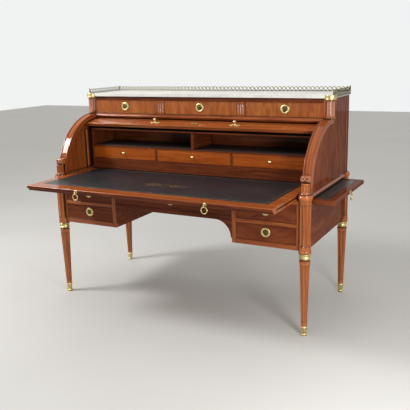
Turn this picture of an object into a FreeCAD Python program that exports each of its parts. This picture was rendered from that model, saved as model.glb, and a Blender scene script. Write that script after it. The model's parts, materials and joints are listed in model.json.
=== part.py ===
import FreeCAD
import Part
import math
import os

# Cylinder desk. Millimetres, +Z up, X along the front, -Y towards the sitter.
# The origin is on the floor, midway between the four feet.

V = FreeCAD.Vector

# Plan
LEG_X = 780.0
LEG_Y = 340.0
CASE_IN_X = 770.0
CASE_OUT_X = 790.0
FRONT_Y = -350.0
FRAME_T = 20.0
FRAME_BACK_Y = FRONT_Y + FRAME_T
LOWER_BACK_Y = 326.0
KNEE_X = 376.0
CHEEK_T = 16.0
STILE_IN_X = 402.0
STILE_OUT_X = 737.0

# Levels
SABOT_H = 52.0
COLLAR_Z0 = 421.0
COLLAR_Z1 = 451.0
CASE_Z = 460.0
POST_BASE_Z = 466.0
LOW_RAIL_Z = 485.0
MID_RAIL_Z0 = 577.0
MID_RAIL_Z1 = 597.0
APRON_Z0 = 579.0
APRON_Z1 = 604.0
TOP_RAIL_Z = 697.0
DUST_Z = 688.0
SIDE_SLIDE_Z0 = 697.0
SIDE_SLIDE_Z1 = 718.0
SLIDE_Z0 = 722.0
SLIDE_Z1 = 752.0
BASE_Z0 = 754.0
BASE_Z1 = 764.0
BOARD_T = 12.0

# Legs and posts
FOOT_R = 16.0
SOCKET_R = 12.0
LEG_TOP_R = 27.5
NECK_R = 24.0
POST_FOOT_R = 33.0
POST_R = 31.0
RING_R = 38.0
SHORT_POST_X = 779.0
SHORT_POST_Y = -338.0
SHORT_POST_R = 22.5
SHORT_POST_TOP_Z = 809.0
ROSETTE_Z = 832.0
ROSETTE_R = 22.0
FLUTES = 10

# Cylinder: axis level with the writing slide, and angles measured up from the sitter's horizon
AXIS_Y = 30.0
AXIS_Z = 735.0
SHELL_R = 325.0
SHELL_T = 16.0
SHELL_IN_R = SHELL_R - SHELL_T
SHELL_HALF = 776.0
OPEN_EDGE = 67.5
SHELL_SPAN = 89.5
STAVES = 8
HANDLE_X = 264.0
HANDLE_ANGLE = 75.5
HANDLE_LEAF_W = 73.0
HANDLE_LEAF_H = 24.0
HANDLE_OUT = 30.0
LOCK_PLATE_W = 46.0
LOCK_PLATE_H = 20.0
ARM_X0 = 753.0
ARM_X1 = 759.0
ARM_W = 26.0
HUB_R = 13.0
PIN_R = 6.0
PIN_CLEARANCE = 0.05

# Curved end stiles and upper sides
STILE_X0 = 752.0
STILE_X1 = 802.0
STILE_IN_R = 329.0
STILE_FACE_R = 353.0
STILE_OUT_R = 357.0
FILLET_W = 7.0
SIDE_IN_X = 779.0
SIDE_OUT_X = 799.0
UPPER_BACK_Y0 = 338.0
UPPER_BACK_Y1 = 352.0
UPPER_END_Y = 355.0
RAIL_IN_X = 771.0
RAIL_OUT_X = 803.0

# Top section
TOP_FRONT_Y = 23.0
TOP_FLOOR_Z0 = 1080.0
TOP_FLOOR_Z1 = 1092.0
CORNICE_Y = 8.0
CORNICE_Z = 1066.0
CORNICE_BACK_Y = 24.0
RAIL_BACK_Y = 44.0
TOP_RAIL_Z0 = 1174.0
MARBLE_Z0 = 1198.0
MARBLE_Z1 = 1216.0
BLOCK_X = 267.0
BLOCK_W = 50.0
COLUMN_X = 788.0
COLUMN_Y = 27.0
COLUMN_R = 25.0
MARBLE_X = 806.0
MARBLE_FRONT_Y = 15.0
MARBLE_BACK_Y = 358.0
MARBLE_CORNER_R = 29.0
GALLERY_H = 27.0
GALLERY_T = 2.5
GALLERY_INSET = 3.0
GALLERY_SINK = 2.0
GALLERY_PITCH = 26.0
GALLERY_HOLE_R = 10.6

# Inner cabinet
CABINET_X = 716.0
CABINET_END_T = 12.0
CABINET_FRONT_Y = -79.0
CABINET_BACK_Y = 152.0
CABINET_BACK_T = 8.0
CABINET_FLOOR_Z0 = 809.0
CABINET_FLOOR_Z1 = 822.0
CABINET_SHELF_Z0 = 894.0
CABINET_SHELF_Z1 = 902.0
CABINET_TOP_Z0 = 998.0
CABINET_TOP_Z1 = 1006.0
CABINET_DIVIDER_X = 251.0
JAMB_X0 = 765.0
JAMB_FRONT_Y = -85.0
JAMB_T = 18.0

# Writing slide, out as it rests
SLIDE_HALF = 739.0
SLIDE_FRONT_Y = -675.0
SLIDE_BACK_Y = -55.0
GROOVE_DEPTH = 8.0
GROOVE_Z0 = 732.0
GROOVE_Z1 = 742.0
GROOVE_STOP = 50.0
LEATHER_T = 1.5
LEATHER_SINK = 0.3
LEATHER_SIDE = 52.0
LEATHER_FRONT = 73.0
LEATHER_REAR = 24.0
PULL_X = 391.0

# Side slides
SIDE_SLIDE_Y = 293.5
SIDE_SLIDE_LEN = 360.0
SIDE_SLIDE_SHUT_X = 798.0
SIDE_SLIDE_OUT = 115.0
SIDE_SLOT_Y = 294.5

# Ring pulls
RING_PULL_R = 16.0
RING_PULL_WIRE = 2.5
PULL_STAND_OFF = 8.0
PULL_PIN_R = 1.5
PULL_EYE_R = 3.6
PULL_EYE_W = 5.0

# Drawers
DRAWER_GAP = 1.0
DRAWER_WALL = 10.0
DRAWER_SIDE_PLAY = 3.0
ESCUTCHEON_R = 26.5
TOP_LOCK_X = 532.0


def box(x0, x1, y0, y1, z0, z1):
    return Part.makeBox(x1 - x0, y1 - y0, z1 - z0, V(x0, y0, z0))


def mirrored(shape):
    return shape.mirror(V(0, 0, 0), V(1, 0, 0))


def pair(shape):
    """The right-hand piece and its mirror image on the left."""
    return [shape, mirrored(shape)]


def turned(profile, x, y):
    """A solid turned about a vertical axis at x, y from (radius, height) points."""
    wire = Part.makePolygon([V(r, 0, z) for r, z in profile + profile[:1]])
    solid = Part.Face(wire).revolve(V(0, 0, 0), V(0, 0, 1), 360)
    solid.translate(V(x, y, 0))
    return solid


def turned_forward(profile):
    """A solid turned about the Y axis from (radius, height) points, standing towards the sitter."""
    points = [V(r, -h, 0) for r, h in profile]
    return Part.Face(Part.makePolygon(points + points[:1])).revolve(V(0, 0, 0), V(0, 1, 0), 360)


def extruded(points, along):
    """A prism from a flat polygon of vectors."""
    return Part.Face(Part.makePolygon(points + points[:1])).extrude(along)


def cut(shape, *tools):
    for tool in tools:
        shape = shape.cut(tool)
    return shape


def save(name, solids):
    """Writes one node: each solid of the list is a separate piece in it."""
    flat = [solid for shape in solids for solid in shape.Solids]
    for solid in flat:
        if not solid.isValid() or solid.Volume <= 0:
            raise ValueError("bad solid in " + name)
    shape = flat[0] if len(flat) == 1 else Part.makeCompound(flat)
    shape.exportStep(os.path.join("parts", name + ".step"))


def on_axis(x, radius, angle):
    """A point at a radius from the cylinder's axis, angle in degrees up from the sitter's horizon."""
    a = math.radians(angle)
    return V(x, AXIS_Y - radius * math.cos(a), AXIS_Z + radius * math.sin(a))


def swept_section(section, start, end):
    """A section of (x, radius) points turned about the cylinder's axis."""
    points = [on_axis(x, r, start) for x, r in section]
    face = Part.Face(Part.makePolygon(points + points[:1]))
    return face.revolve(V(0, AXIS_Y, AXIS_Z), V(-1, 0, 0), end - start)


def flute_tools(x, y, r0, z0, r1, z1, width0, width1, count=FLUTES):
    """Round-ended grooves round a turned shaft, from radius r0 at z0 to r1 at z1."""
    tools = []
    for i in range(count):
        a = 2 * math.pi * (i + 0.5) / count
        out = V(math.cos(a), math.sin(a), 0)
        low = V(x, y, z0) + out * r0
        high = V(x, y, z1) + out * r1
        if width0 == width1:
            rod = Part.makeCylinder(width0, (high - low).Length, low, high - low)
        else:
            rod = Part.makeCone(width0, width1, (high - low).Length, low, high - low)
        tools.append(rod.fuse(Part.makeSphere(width0, low)).fuse(Part.makeSphere(width1, high)))
    return Part.makeCompound(tools)


# Legs, shoes, collars and rings

LEG_PROFILE = [
    (0, 6),
    (SOCKET_R, 6),
    (SOCKET_R, SABOT_H),
    (FOOT_R, SABOT_H),
    (LEG_TOP_R, 400),
    (LEG_TOP_R + 1.5, 404),
    (LEG_TOP_R + 1.5, 410),
    (NECK_R, 414),
    (NECK_R, COLLAR_Z1),
    (POST_FOOT_R, COLLAR_Z1),
    (POST_FOOT_R, POST_BASE_Z - 3),
    (POST_R, POST_BASE_Z),
    (POST_R, SLIDE_Z0),
    (0, SLIDE_Z0),
]
SABOT_PROFILE = [
    (0, 0),
    (13, 0),
    (16, 3),
    (16.5, 7),
    (15.5, 11),
    (13.5, 14),
    (14.5, 20),
    (17, 43),
    (19, 45),
    (19, 50),
    (17.5, SABOT_H),
    (SOCKET_R, SABOT_H),
    (SOCKET_R, 6),
    (0, 6),
]
COLLAR_PROFILE = [
    (NECK_R, COLLAR_Z0),
    (30, COLLAR_Z0),
    (32, COLLAR_Z0 + 3),
    (32, COLLAR_Z0 + 7),
    (29.5, COLLAR_Z0 + 10),
    (29.5, COLLAR_Z1 - 9),
    (32.5, COLLAR_Z1 - 6),
    (32.5, COLLAR_Z1),
    (NECK_R, COLLAR_Z1),
]
RING_PROFILE = [
    (0, SLIDE_Z0),
    (33, SLIDE_Z0),
    (33, SLIDE_Z0 + 4),
    (36.5, SLIDE_Z0 + 7),
    (RING_R, SLIDE_Z0 + 12),
    (RING_R, SLIDE_Z0 + 17),
    (36.5, SLIDE_Z0 + 22),
    (33, SLIDE_Z0 + 25),
    (33, SLIDE_Z1),
    (0, SLIDE_Z1),
]
CORNERS = [(sx * LEG_X, sy * LEG_Y) for sy in (-1, 1) for sx in (-1, 1)]


def leg(x, y):
    """One leg: tapered fluted shaft below, fluted corner post above."""
    shaft = flute_tools(x, y, FOOT_R + 1.2, 78, LEG_TOP_R + 0.3, 382, 3.3, 5.6)
    post = flute_tools(x, y, POST_R + 0.8, 486, POST_R + 0.8, 706, 6.4, 6.4)
    return cut(turned(LEG_PROFILE, x, y), shaft, post)


def leg_room():
    """What the legs and rings take out of the boards that run up to them."""
    return [turned(profile, x, y) for x, y in CORNERS for profile in (LEG_PROFILE, RING_PROFILE)]


def build_legs():
    save("legs", [leg(x, y) for x, y in CORNERS])
    save("leg_brasses", [turned(p, x, y) for x, y in CORNERS for p in (SABOT_PROFILE, COLLAR_PROFILE)])
    save("post_rings", [turned(RING_PROFILE, x, y) for x, y in CORNERS])


# Lower case

def build_lower_case():
    room = leg_room()
    panel = box(CASE_IN_X, CASE_OUT_X, -LEG_Y, LEG_Y, CASE_Z, SIDE_SLIDE_Z0 - 1)
    ends = [
        box(CASE_IN_X, CASE_OUT_X, -LEG_Y, -SIDE_SLOT_Y, SIDE_SLIDE_Z0 - 1, SLIDE_Z0),
        box(CASE_IN_X, CASE_OUT_X, SIDE_SLOT_Y, LEG_Y, SIDE_SLIDE_Z0 - 1, SLIDE_Z0),
    ]
    save("lower_sides", [p for b in [panel] + ends for p in pair(cut(b, *room))])

    back_end_y = LOWER_BACK_Y + 14
    back = cut(box(KNEE_X, LEG_X, LOWER_BACK_Y, back_end_y, CASE_Z, SLIDE_Z1), *room)
    middle = box(-KNEE_X, KNEE_X, LOWER_BACK_Y, back_end_y, APRON_Z0, SLIDE_Z1)
    save("lower_back", pair(back) + [middle])

    cheek = box(KNEE_X, KNEE_X + CHEEK_T, FRAME_BACK_Y, LOWER_BACK_Y, CASE_Z, DUST_Z)
    save("pedestal_cheeks", pair(cheek))

    cheek_x = KNEE_X + CHEEK_T
    bottom = box(cheek_x, CASE_IN_X, FRAME_BACK_Y, LOWER_BACK_Y, LOW_RAIL_Z - BOARD_T, LOW_RAIL_Z)
    divider = box(cheek_x, CASE_IN_X, FRAME_BACK_Y, LOWER_BACK_Y, MID_RAIL_Z1 - BOARD_T, MID_RAIL_Z1)
    dust = box(-CASE_IN_X, CASE_IN_X, FRAME_BACK_Y, LOWER_BACK_Y, DUST_Z, SIDE_SLIDE_Z0 - 1)
    boards = [p for b in (bottom, divider) for p in pair(cut(b, *room))]
    save("dust_boards", boards + [cut(dust, *room)])

    build_front_frame(room)


def build_front_frame(room):
    """Rails and stiles between the posts, and the apron's brackets over the kneehole."""
    def bar(x0, x1, z0, z1):
        return box(x0, x1, FRONT_Y, FRAME_BACK_Y, z0, z1)

    top = cut(bar(-LEG_X, LEG_X, TOP_RAIL_Z, SLIDE_Z0 - 0.5), *room)
    low = bar(STILE_IN_X, STILE_OUT_X, CASE_Z, LOW_RAIL_Z)
    middle = bar(STILE_IN_X, STILE_OUT_X, MID_RAIL_Z0, MID_RAIL_Z1)
    inner = bar(KNEE_X, STILE_IN_X, CASE_Z, TOP_RAIL_Z)
    outer = cut(bar(STILE_OUT_X, LEG_X, CASE_Z, TOP_RAIL_Z), *room)
    save("front_frame", [top] + [p for b in (low, middle, inner, outer) for p in pair(b)])

    arch_r = 93.0
    arch_x = KNEE_X - 6 - arch_r
    arch_z = APRON_Z0 - arch_r
    apron = bar(-KNEE_X, KNEE_X, APRON_Z0, APRON_Z1)
    hollow = Part.makeCylinder(arch_r, FRAME_T, V(arch_x, FRONT_Y, arch_z), V(0, 1, 0))
    bracket = bar(arch_x, KNEE_X, arch_z, APRON_Z0).cut(hollow)
    save("knee_apron", [apron] + pair(bracket))


def build_guides():
    """Runners of the middle drawer, guides of the side slides, tongued runners of the writing slide."""
    runner = box(KNEE_X - 14, KNEE_X, FRAME_BACK_Y, LOWER_BACK_Y, APRON_Z1 - 9, APRON_Z1)
    guide_x = SIDE_SLIDE_SHUT_X - SIDE_SLIDE_LEN
    guide = box(guide_x, CASE_IN_X, SIDE_SLOT_Y, SIDE_SLOT_Y + 14, SIDE_SLIDE_Z0 - 1, SIDE_SLIDE_Z1)
    strip = box(SLIDE_HALF + 1, SLIDE_HALF + 12.5, -300, 300, SLIDE_Z0, BASE_Z0)
    tongue_x = SLIDE_HALF - GROOVE_DEPTH + 1
    tongue = box(tongue_x, SLIDE_HALF + 1, -300, 300, GROOVE_Z0 + 0.5, GROOVE_Z1 - 0.5)
    far_guide = guide.mirror(V(0, 0, 0), V(0, 1, 0))
    pieces = [runner, guide, far_guide, strip.fuse(tongue).removeSplitter()]
    save("slide_guides", [p for piece in pieces for p in pair(piece)])


# Upper case

def build_upper_case():
    rail_points = [
        (RAIL_IN_X, SLIDE_Z0),
        (RAIL_OUT_X - 6, SLIDE_Z0),
        (RAIL_OUT_X, SLIDE_Z0 + 6),
        (RAIL_OUT_X, SLIDE_Z0 + 19),
        (RAIL_OUT_X - 4, SLIDE_Z0 + 24),
        (RAIL_OUT_X - 4, SLIDE_Z1),
        (RAIL_IN_X, SLIDE_Z1),
    ]
    rail_y = LEG_Y - RING_R
    rail = extruded([V(x, -rail_y, z) for x, z in rail_points], V(0, 2 * rail_y, 0))
    save("side_rails", pair(rail))

    low_angle = math.degrees(math.asin((SLIDE_Z1 - AXIS_Z) / STILE_IN_R))
    top_angle = 90.0
    mid_angle = (low_angle + top_angle) / 2
    curve = Part.Arc(*[on_axis(SIDE_IN_X, STILE_IN_R, a) for a in (low_angle, mid_angle, top_angle)])
    column_back_y = COLUMN_Y + COLUMN_R
    top_z = AXIS_Z + STILE_IN_R
    corners = [
        on_axis(SIDE_IN_X, STILE_IN_R, top_angle),
        V(SIDE_IN_X, column_back_y, top_z),
        V(SIDE_IN_X, column_back_y, MARBLE_Z0),
        V(SIDE_IN_X, UPPER_END_Y, MARBLE_Z0),
        V(SIDE_IN_X, UPPER_END_Y, SLIDE_Z1),
        on_axis(SIDE_IN_X, STILE_IN_R, low_angle),
    ]
    edges = [curve.toShape()] + Part.makePolygon(corners).Edges
    side = Part.Face(Part.Wire(edges)).extrude(V(SIDE_OUT_X - SIDE_IN_X, 0, 0))
    save("upper_sides", pair(side))

    section = [
        (STILE_X0, STILE_IN_R),
        (STILE_X1, STILE_IN_R),
        (STILE_X1, STILE_OUT_R),
        (STILE_X1 - FILLET_W, STILE_OUT_R),
        (STILE_X1 - FILLET_W, STILE_FACE_R),
        (STILE_X0 + FILLET_W, STILE_FACE_R),
        (STILE_X0 + FILLET_W, STILE_OUT_R),
        (STILE_X0, STILE_OUT_R),
    ]
    stile = swept_section(section, 3.0, 88.0)
    save("end_stiles", pair(stile))

    profile = [
        (0, SLIDE_Z1),
        (26, SLIDE_Z1),
        (26.5, SLIDE_Z1 + 5),
        (23.5, SLIDE_Z1 + 9),
        (SHORT_POST_R, SLIDE_Z1 + 11),
        (SHORT_POST_R, SHORT_POST_TOP_Z),
        (0, SHORT_POST_TOP_Z),
    ]
    post = turned(profile, SHORT_POST_X, SHORT_POST_Y)
    flutes = flute_tools(
        SHORT_POST_X, SHORT_POST_Y, SHORT_POST_R + 0.6, SLIDE_Z1 + 18,
        SHORT_POST_R + 0.6, SHORT_POST_TOP_Z - 6, 4.5, 4.5
    )
    post = cut(post, flutes, stile)
    disc = Part.makeCylinder(ROSETTE_R, 40, V(SHORT_POST_X - 1, -345, ROSETTE_Z), V(0, 1, 0))
    boss = Part.makeCylinder(7, 6, V(SHORT_POST_X - 1, -351, ROSETTE_Z), V(0, 1, 0))
    behind = swept_section([(700, 0), (850, 0), (850, STILE_FACE_R), (700, STILE_FACE_R)], 0.0, 60.0)
    rosette = disc.fuse(boss).cut(behind).cut(stile)
    save("short_posts", pair(post) + pair(rosette))

    save("upper_back", [box(-SIDE_IN_X, SIDE_IN_X, UPPER_BACK_Y0, UPPER_BACK_Y1, SLIDE_Z1, MARBLE_Z0)])

    pin = Part.makeCylinder(PIN_R, 19, V(752, AXIS_Y, AXIS_Z), V(1, 0, 0))
    boss = Part.makeCylinder(12, 11, V(760, AXIS_Y, AXIS_Z), V(1, 0, 0))
    save("pivot_pins", pair(pin.fuse(boss)))


# Inner cabinet

def build_cabinet():
    base_wide = box(-SIDE_IN_X, SIDE_IN_X, 115, UPPER_BACK_Y0, BASE_Z0, BASE_Z1)
    base_front = box(-ARM_X0 + 1.5, ARM_X0 - 1.5, CABINET_FRONT_Y, 115, BASE_Z0, BASE_Z1)
    base = base_wide.fuse(base_front).removeSplitter()

    end_x = CABINET_X + CABINET_END_T
    end_y = CABINET_BACK_Y + CABINET_BACK_T
    end = box(CABINET_X, end_x, CABINET_FRONT_Y, end_y, BASE_Z1, CABINET_TOP_Z1)
    back = box(-CABINET_X, CABINET_X, CABINET_BACK_Y, end_y, BASE_Z1, CABINET_TOP_Z1)
    plinth = box(-CABINET_X, CABINET_X, CABINET_FRONT_Y, CABINET_FRONT_Y + 12, BASE_Z1, CABINET_FLOOR_Z0)

    def shelf(z0, z1):
        return box(-CABINET_X, CABINET_X, CABINET_FRONT_Y, CABINET_BACK_Y, z0, z1)

    def upright(x, thick, z0, z1):
        return box(x - thick / 2, x + thick / 2, CABINET_FRONT_Y, CABINET_BACK_Y, z0, z1)

    shelves = [
        shelf(CABINET_FLOOR_Z0, CABINET_FLOOR_Z1),
        shelf(CABINET_SHELF_Z0, CABINET_SHELF_Z1),
        shelf(CABINET_TOP_Z0, CABINET_TOP_Z1),
    ]
    uprights = pair(upright(CABINET_DIVIDER_X, 12, CABINET_FLOOR_Z1, CABINET_SHELF_Z0))
    uprights.append(upright(0, 17, CABINET_SHELF_Z1, CABINET_TOP_Z0))
    jamb = box(JAMB_X0, SIDE_IN_X, JAMB_FRONT_Y, JAMB_FRONT_Y + JAMB_T, BASE_Z0, CABINET_TOP_Z0)
    save("inner_cabinet", pair(end) + [base, back, plinth] + shelves + uprights + pair(jamb))


# Top section

def fluted(shape, x0, x1, y, z0, z1, count):
    """Cuts upright round-ended flutes into a front face at y."""
    pitch = (x1 - x0) / count
    r = pitch * 0.34
    for i in range(count):
        x = x0 + pitch * (i + 0.5)
        rod = Part.makeCylinder(r, z1 - z0, V(x, y - r * 0.35, z0))
        ends = [Part.makeSphere(r, V(x, y - r * 0.35, z)) for z in (z0, z1)]
        shape = cut(shape, rod, *ends)
    return shape


def build_top():
    column = Part.makeCylinder(COLUMN_R, MARBLE_Z0 - TOP_FLOOR_Z1, V(COLUMN_X, COLUMN_Y, TOP_FLOOR_Z1))
    column_back_y = COLUMN_Y + COLUMN_R
    under = box(STILE_X0, STILE_X1, 18.6, column_back_y, AXIS_Z + STILE_IN_R, TOP_FLOOR_Z1)
    floor = box(-SIDE_IN_X, SIDE_IN_X, CORNICE_BACK_Y, UPPER_BACK_Y0, TOP_FLOOR_Z0, TOP_FLOOR_Z1)
    floor = cut(floor, *pair(under))
    rail = box(-STILE_X0, STILE_X0, TOP_FRONT_Y, RAIL_BACK_Y, TOP_RAIL_Z0, MARBLE_Z0)
    board = box(-SIDE_IN_X, SIDE_IN_X, column_back_y, UPPER_BACK_Y0, MARBLE_Z0 - BOARD_T, MARBLE_Z0)
    post = box(STILE_X0, SIDE_IN_X, TOP_FRONT_Y, column_back_y, TOP_FLOOR_Z1, MARBLE_Z0).cut(column)
    board_z = MARBLE_Z0 - BOARD_T
    partition = box(BLOCK_X - 8, BLOCK_X + 8, RAIL_BACK_Y, UPPER_BACK_Y0, TOP_FLOOR_Z1, board_z)
    filler = box(-STILE_X0, STILE_X0, RAIL_BACK_Y, column_back_y, board_z, MARBLE_Z0)
    board = board.fuse(filler).removeSplitter()
    save("top_frame", [floor, rail, board] + pair(under) + pair(post) + pair(partition))

    nose = [
        (CORNICE_BACK_Y, CORNICE_Z),
        (CORNICE_Y + 12, CORNICE_Z),
        (CORNICE_Y + 10, CORNICE_Z + 3),
        (CORNICE_Y + 4, CORNICE_Z + 4.5),
        (CORNICE_Y, CORNICE_Z + 10),
        (CORNICE_Y, CORNICE_Z + 17),
        (CORNICE_Y + 4, CORNICE_Z + 22),
        (CORNICE_Y + 8, CORNICE_Z + 23.5),
        (CORNICE_Y + 8, TOP_FLOOR_Z1),
        (CORNICE_BACK_Y, TOP_FLOOR_Z1),
    ]
    cornice = extruded([V(-STILE_X0, y, z) for y, z in nose], V(2 * STILE_X0, 0, 0))
    save("cornice", [cornice])

    half = BLOCK_W / 2
    block_y = TOP_FRONT_Y - 3
    block = box(BLOCK_X - half, BLOCK_X + half, block_y, RAIL_BACK_Y, TOP_FLOOR_Z1, TOP_RAIL_Z0)
    low_z = TOP_FLOOR_Z1 + 12
    block = fluted(block, BLOCK_X - half + 4, BLOCK_X + half - 4, block_y, low_z, TOP_RAIL_Z0 - 12, 3)
    groove_r = COLUMN_R + 0.7
    grooves = flute_tools(COLUMN_X, COLUMN_Y, groove_r, low_z + 2, groove_r, MARBLE_Z0 - 18, 5.2, 5.2)
    save("fluted_columns", pair(block) + pair(cut(column, grooves)))


def marble():
    slab = box(-MARBLE_X, MARBLE_X, COLUMN_Y, MARBLE_BACK_Y, MARBLE_Z0, MARBLE_Z1)
    front_x = COLUMN_X - MARBLE_CORNER_R
    slab = slab.fuse(box(-front_x, front_x, MARBLE_FRONT_Y, COLUMN_Y, MARBLE_Z0, MARBLE_Z1))
    for x in (-COLUMN_X, COLUMN_X):
        slab = slab.fuse(
            Part.makeCylinder(MARBLE_CORNER_R, MARBLE_Z1 - MARBLE_Z0, V(x, COLUMN_Y, MARBLE_Z0))
        )
    return slab.removeSplitter()


def pierced_strip(length):
    """A strip of gallery along +X from the origin, sunk below z 0, with a row of round openings."""
    low = -GALLERY_SINK
    outline = Part.makePolygon(
        [V(0, 0, low), V(length, 0, low), V(length, 0, GALLERY_H), V(0, 0, GALLERY_H), V(0, 0, low)]
    )
    count = int((length - 4) // GALLERY_PITCH)
    start = (length - (count - 1) * GALLERY_PITCH) / 2
    holes = []
    for i in range(count):
        centre = V(start + i * GALLERY_PITCH, 0, GALLERY_H / 2)
        holes.append(Part.Wire(Part.makeCircle(GALLERY_HOLE_R, centre, V(0, 1, 0))))
    face = Part.makeFace([outline] + holes, "Part::FaceMakerBullseye")
    return face.extrude(V(0, GALLERY_T, 0))


def build_marble_and_gallery():
    slab = marble()
    side_x = MARBLE_X - GALLERY_INSET
    back_y = MARBLE_BACK_Y - GALLERY_INSET
    post_r = 4.0
    low = -GALLERY_SINK
    post_profile = [(0, low), (post_r, low), (post_r, 25), (2.4, 26.5), (3.6, 29), (2.6, 31.5), (0, 32.5)]
    post_profile = [(r, z + MARBLE_Z1) for r, z in post_profile]
    ends = [(side_x, COLUMN_Y), (side_x, back_y)]
    posts = [turned(post_profile, sx * x, y) for x, y in ends for sx in (-1, 1)]
    back = pierced_strip(2 * (side_x - post_r))
    back.translate(V(-side_x + post_r, back_y - GALLERY_T / 2, MARBLE_Z1))
    side = pierced_strip(back_y - COLUMN_Y - 2 * post_r)
    side.rotate(V(0, 0, 0), V(0, 0, 1), 90)
    side.translate(V(side_x + GALLERY_T / 2, COLUMN_Y + post_r, MARBLE_Z1))

    band_z = MARBLE_Z0 - 8
    tube = Part.makeCylinder(MARBLE_CORNER_R + 2.2, MARBLE_Z1 - band_z, V(COLUMN_X, COLUMN_Y, band_z))
    bore = Part.makeCylinder(COLUMN_R, MARBLE_Z0 - band_z, V(COLUMN_X, COLUMN_Y, band_z))
    behind = box(STILE_X0, SIDE_OUT_X, TOP_FRONT_Y, 80, band_z, MARBLE_Z0)
    band = cut(tube, bore, slab, behind)
    save("gallery", [back] + pair(side) + posts + pair(band))

    low_z = MARBLE_Z1 - GALLERY_SINK
    rebates = pair(box(side_x - post_r - 0.5, MARBLE_X + 30, -50, 400, low_z, MARBLE_Z1))
    rebates.append(box(-MARBLE_X, MARBLE_X, back_y - post_r - 0.5, 400, low_z, MARBLE_Z1))
    save("marble_top", [cut(slab, *rebates)])


# Cylinder

def build_cylinder():
    def strip(half, r0, r1, from_edge, to_edge):
        section = [(-half, r0), (half, r0), (half, r1), (-half, r1)]
        return swept_section(section, OPEN_EDGE + from_edge, OPEN_EDGE + to_edge)

    width = SHELL_SPAN / STAVES
    staves = [strip(SHELL_HALF, SHELL_IN_R, SHELL_R, i * width, (i + 1) * width) for i in range(STAVES)]
    mouldings = [
        strip(STILE_X0 - 3, SHELL_R, SHELL_R + 3.5, 0.0, 2.6),
        strip(STILE_X0 - 3, SHELL_R, SHELL_R + 2.0, 14.0, 15.2),
    ]
    save("cylinder_shell", staves + mouldings)

    bore = Part.makeCylinder(PIN_R + PIN_CLEARANCE, 40, V(ARM_X0 - 10, AXIS_Y, AXIS_Z), V(1, 0, 0))
    rim = Part.makeCylinder(SHELL_IN_R, 40, V(ARM_X0 - 10, AXIS_Y, AXIS_Z), V(1, 0, 0))
    arm = Part.makeCylinder(HUB_R, ARM_X1 - ARM_X0, V(ARM_X0, AXIS_Y, AXIS_Z), V(1, 0, 0))
    for angle in (OPEN_EDGE + 8, OPEN_EDGE + SHELL_SPAN - 14):
        bar = box(ARM_X0, ARM_X1, -SHELL_R, 0, -ARM_W / 2, ARM_W / 2)
        bar.rotate(V(0, 0, 0), V(1, 0, 0), -angle)
        bar.translate(V(0, AXIS_Y, AXIS_Z))
        arm = arm.fuse(bar)
    keep_low = box(ARM_X0, ARM_X1, AXIS_Y - 400, AXIS_Y + 400, AXIS_Z - HUB_R, AXIS_Z + 400)
    arm = arm.common(rim).common(keep_low).cut(bore)
    save("cylinder_arms", pair(arm.removeSplitter()))

    build_cylinder_handles()


def leaf_handle():
    """A turned knob on a pointed leaf plate, drawn on the origin towards the sitter."""
    half_w = HANDLE_LEAF_W / 2
    half_h = HANDLE_LEAF_H / 2
    tips = (V(-half_w, 0, 0), V(half_w, 0, 0))
    edges = [Part.Arc(tips[0], V(0, 0, z), tips[1]).toShape() for z in (half_h, -half_h)]
    front_y = -3.0
    leaf = Part.Face(Part.Wire(edges)).extrude(V(0, 2 - front_y, 0))
    leaf.translate(V(0, front_y, 0))
    tip = HANDLE_OUT
    profile = [(0, 0), (10, 0), (10, 4), (5, 6), (4, 14), (8, tip - 13), (10, tip - 8), (8.5, tip - 3)]
    profile += [(4, tip), (0, tip)]
    return leaf.fuse(turned_forward(profile))


def build_cylinder_handles():
    """Two leaf handles, and the lock plate between them, on the shell's outer face."""
    shell_room = Part.makeCylinder(SHELL_R, 2000, V(-1000, 0, 0), V(1, 0, 0))
    half_w = LOCK_PLATE_W / 2
    half_h = LOCK_PLATE_H / 2
    plate = box(-half_w, half_w, -2.5, 3, -half_h, half_h).cut(keyhole())
    pieces = [placed(leaf_handle(), sx * HANDLE_X, -SHELL_R, 0) for sx in (-1, 1)]
    pieces.append(placed(plate, 0, -SHELL_R, 0))
    on_shell = []
    for piece in pieces:
        piece = piece.cut(shell_room).removeSplitter()
        piece.rotate(V(0, 0, 0), V(1, 0, 0), -HANDLE_ANGLE)
        piece.translate(V(0, AXIS_Y, AXIS_Z))
        on_shell.append(piece)
    save("cylinder_handles", on_shell)


# Ring pulls: drawn at the origin facing -Y, pin along X at the origin

def pull_mount():
    """Back plate with two lugs and the pin that the ring's eye turns on."""
    half_eye = PULL_EYE_W / 2 + 0.3
    lug_t = 2.0
    plate = Part.makeCylinder(10, 2.5, V(0, PULL_STAND_OFF - 2.5, 5), V(0, 1, 0))
    mount = plate.fuse(Part.makeSphere(4.6, V(0, PULL_STAND_OFF - 5.2, 10.5)))
    for x0 in (-half_eye - lug_t, half_eye):
        lug = box(x0, x0 + lug_t, 0, PULL_STAND_OFF - 2.5, -2.6, 2.6)
        lug = lug.fuse(Part.makeCylinder(2.6, lug_t, V(x0, 0, 0), V(1, 0, 0)))
        mount = mount.fuse(lug)
    pin = Part.makeCylinder(PULL_PIN_R, PULL_EYE_W + 4, V(-PULL_EYE_W / 2 - 2, 0, 0), V(1, 0, 0))
    return mount.fuse(pin).common(box(-40, 40, -40, PULL_STAND_OFF, -40, 40)).removeSplitter()


def pull_ring():
    eye = Part.makeCylinder(PULL_EYE_R, PULL_EYE_W, V(-PULL_EYE_W / 2, 0, 0), V(1, 0, 0))
    drop = PULL_EYE_R + RING_PULL_R + RING_PULL_WIRE - 0.4
    ring = Part.makeTorus(RING_PULL_R, RING_PULL_WIRE, V(0, 0, -drop), V(0, 1, 0))
    hole = Part.makeCylinder(PULL_PIN_R + 0.05, 20, V(-10, 0, 0), V(1, 0, 0))
    return eye.fuse(ring).cut(hole).removeSplitter()


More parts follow.
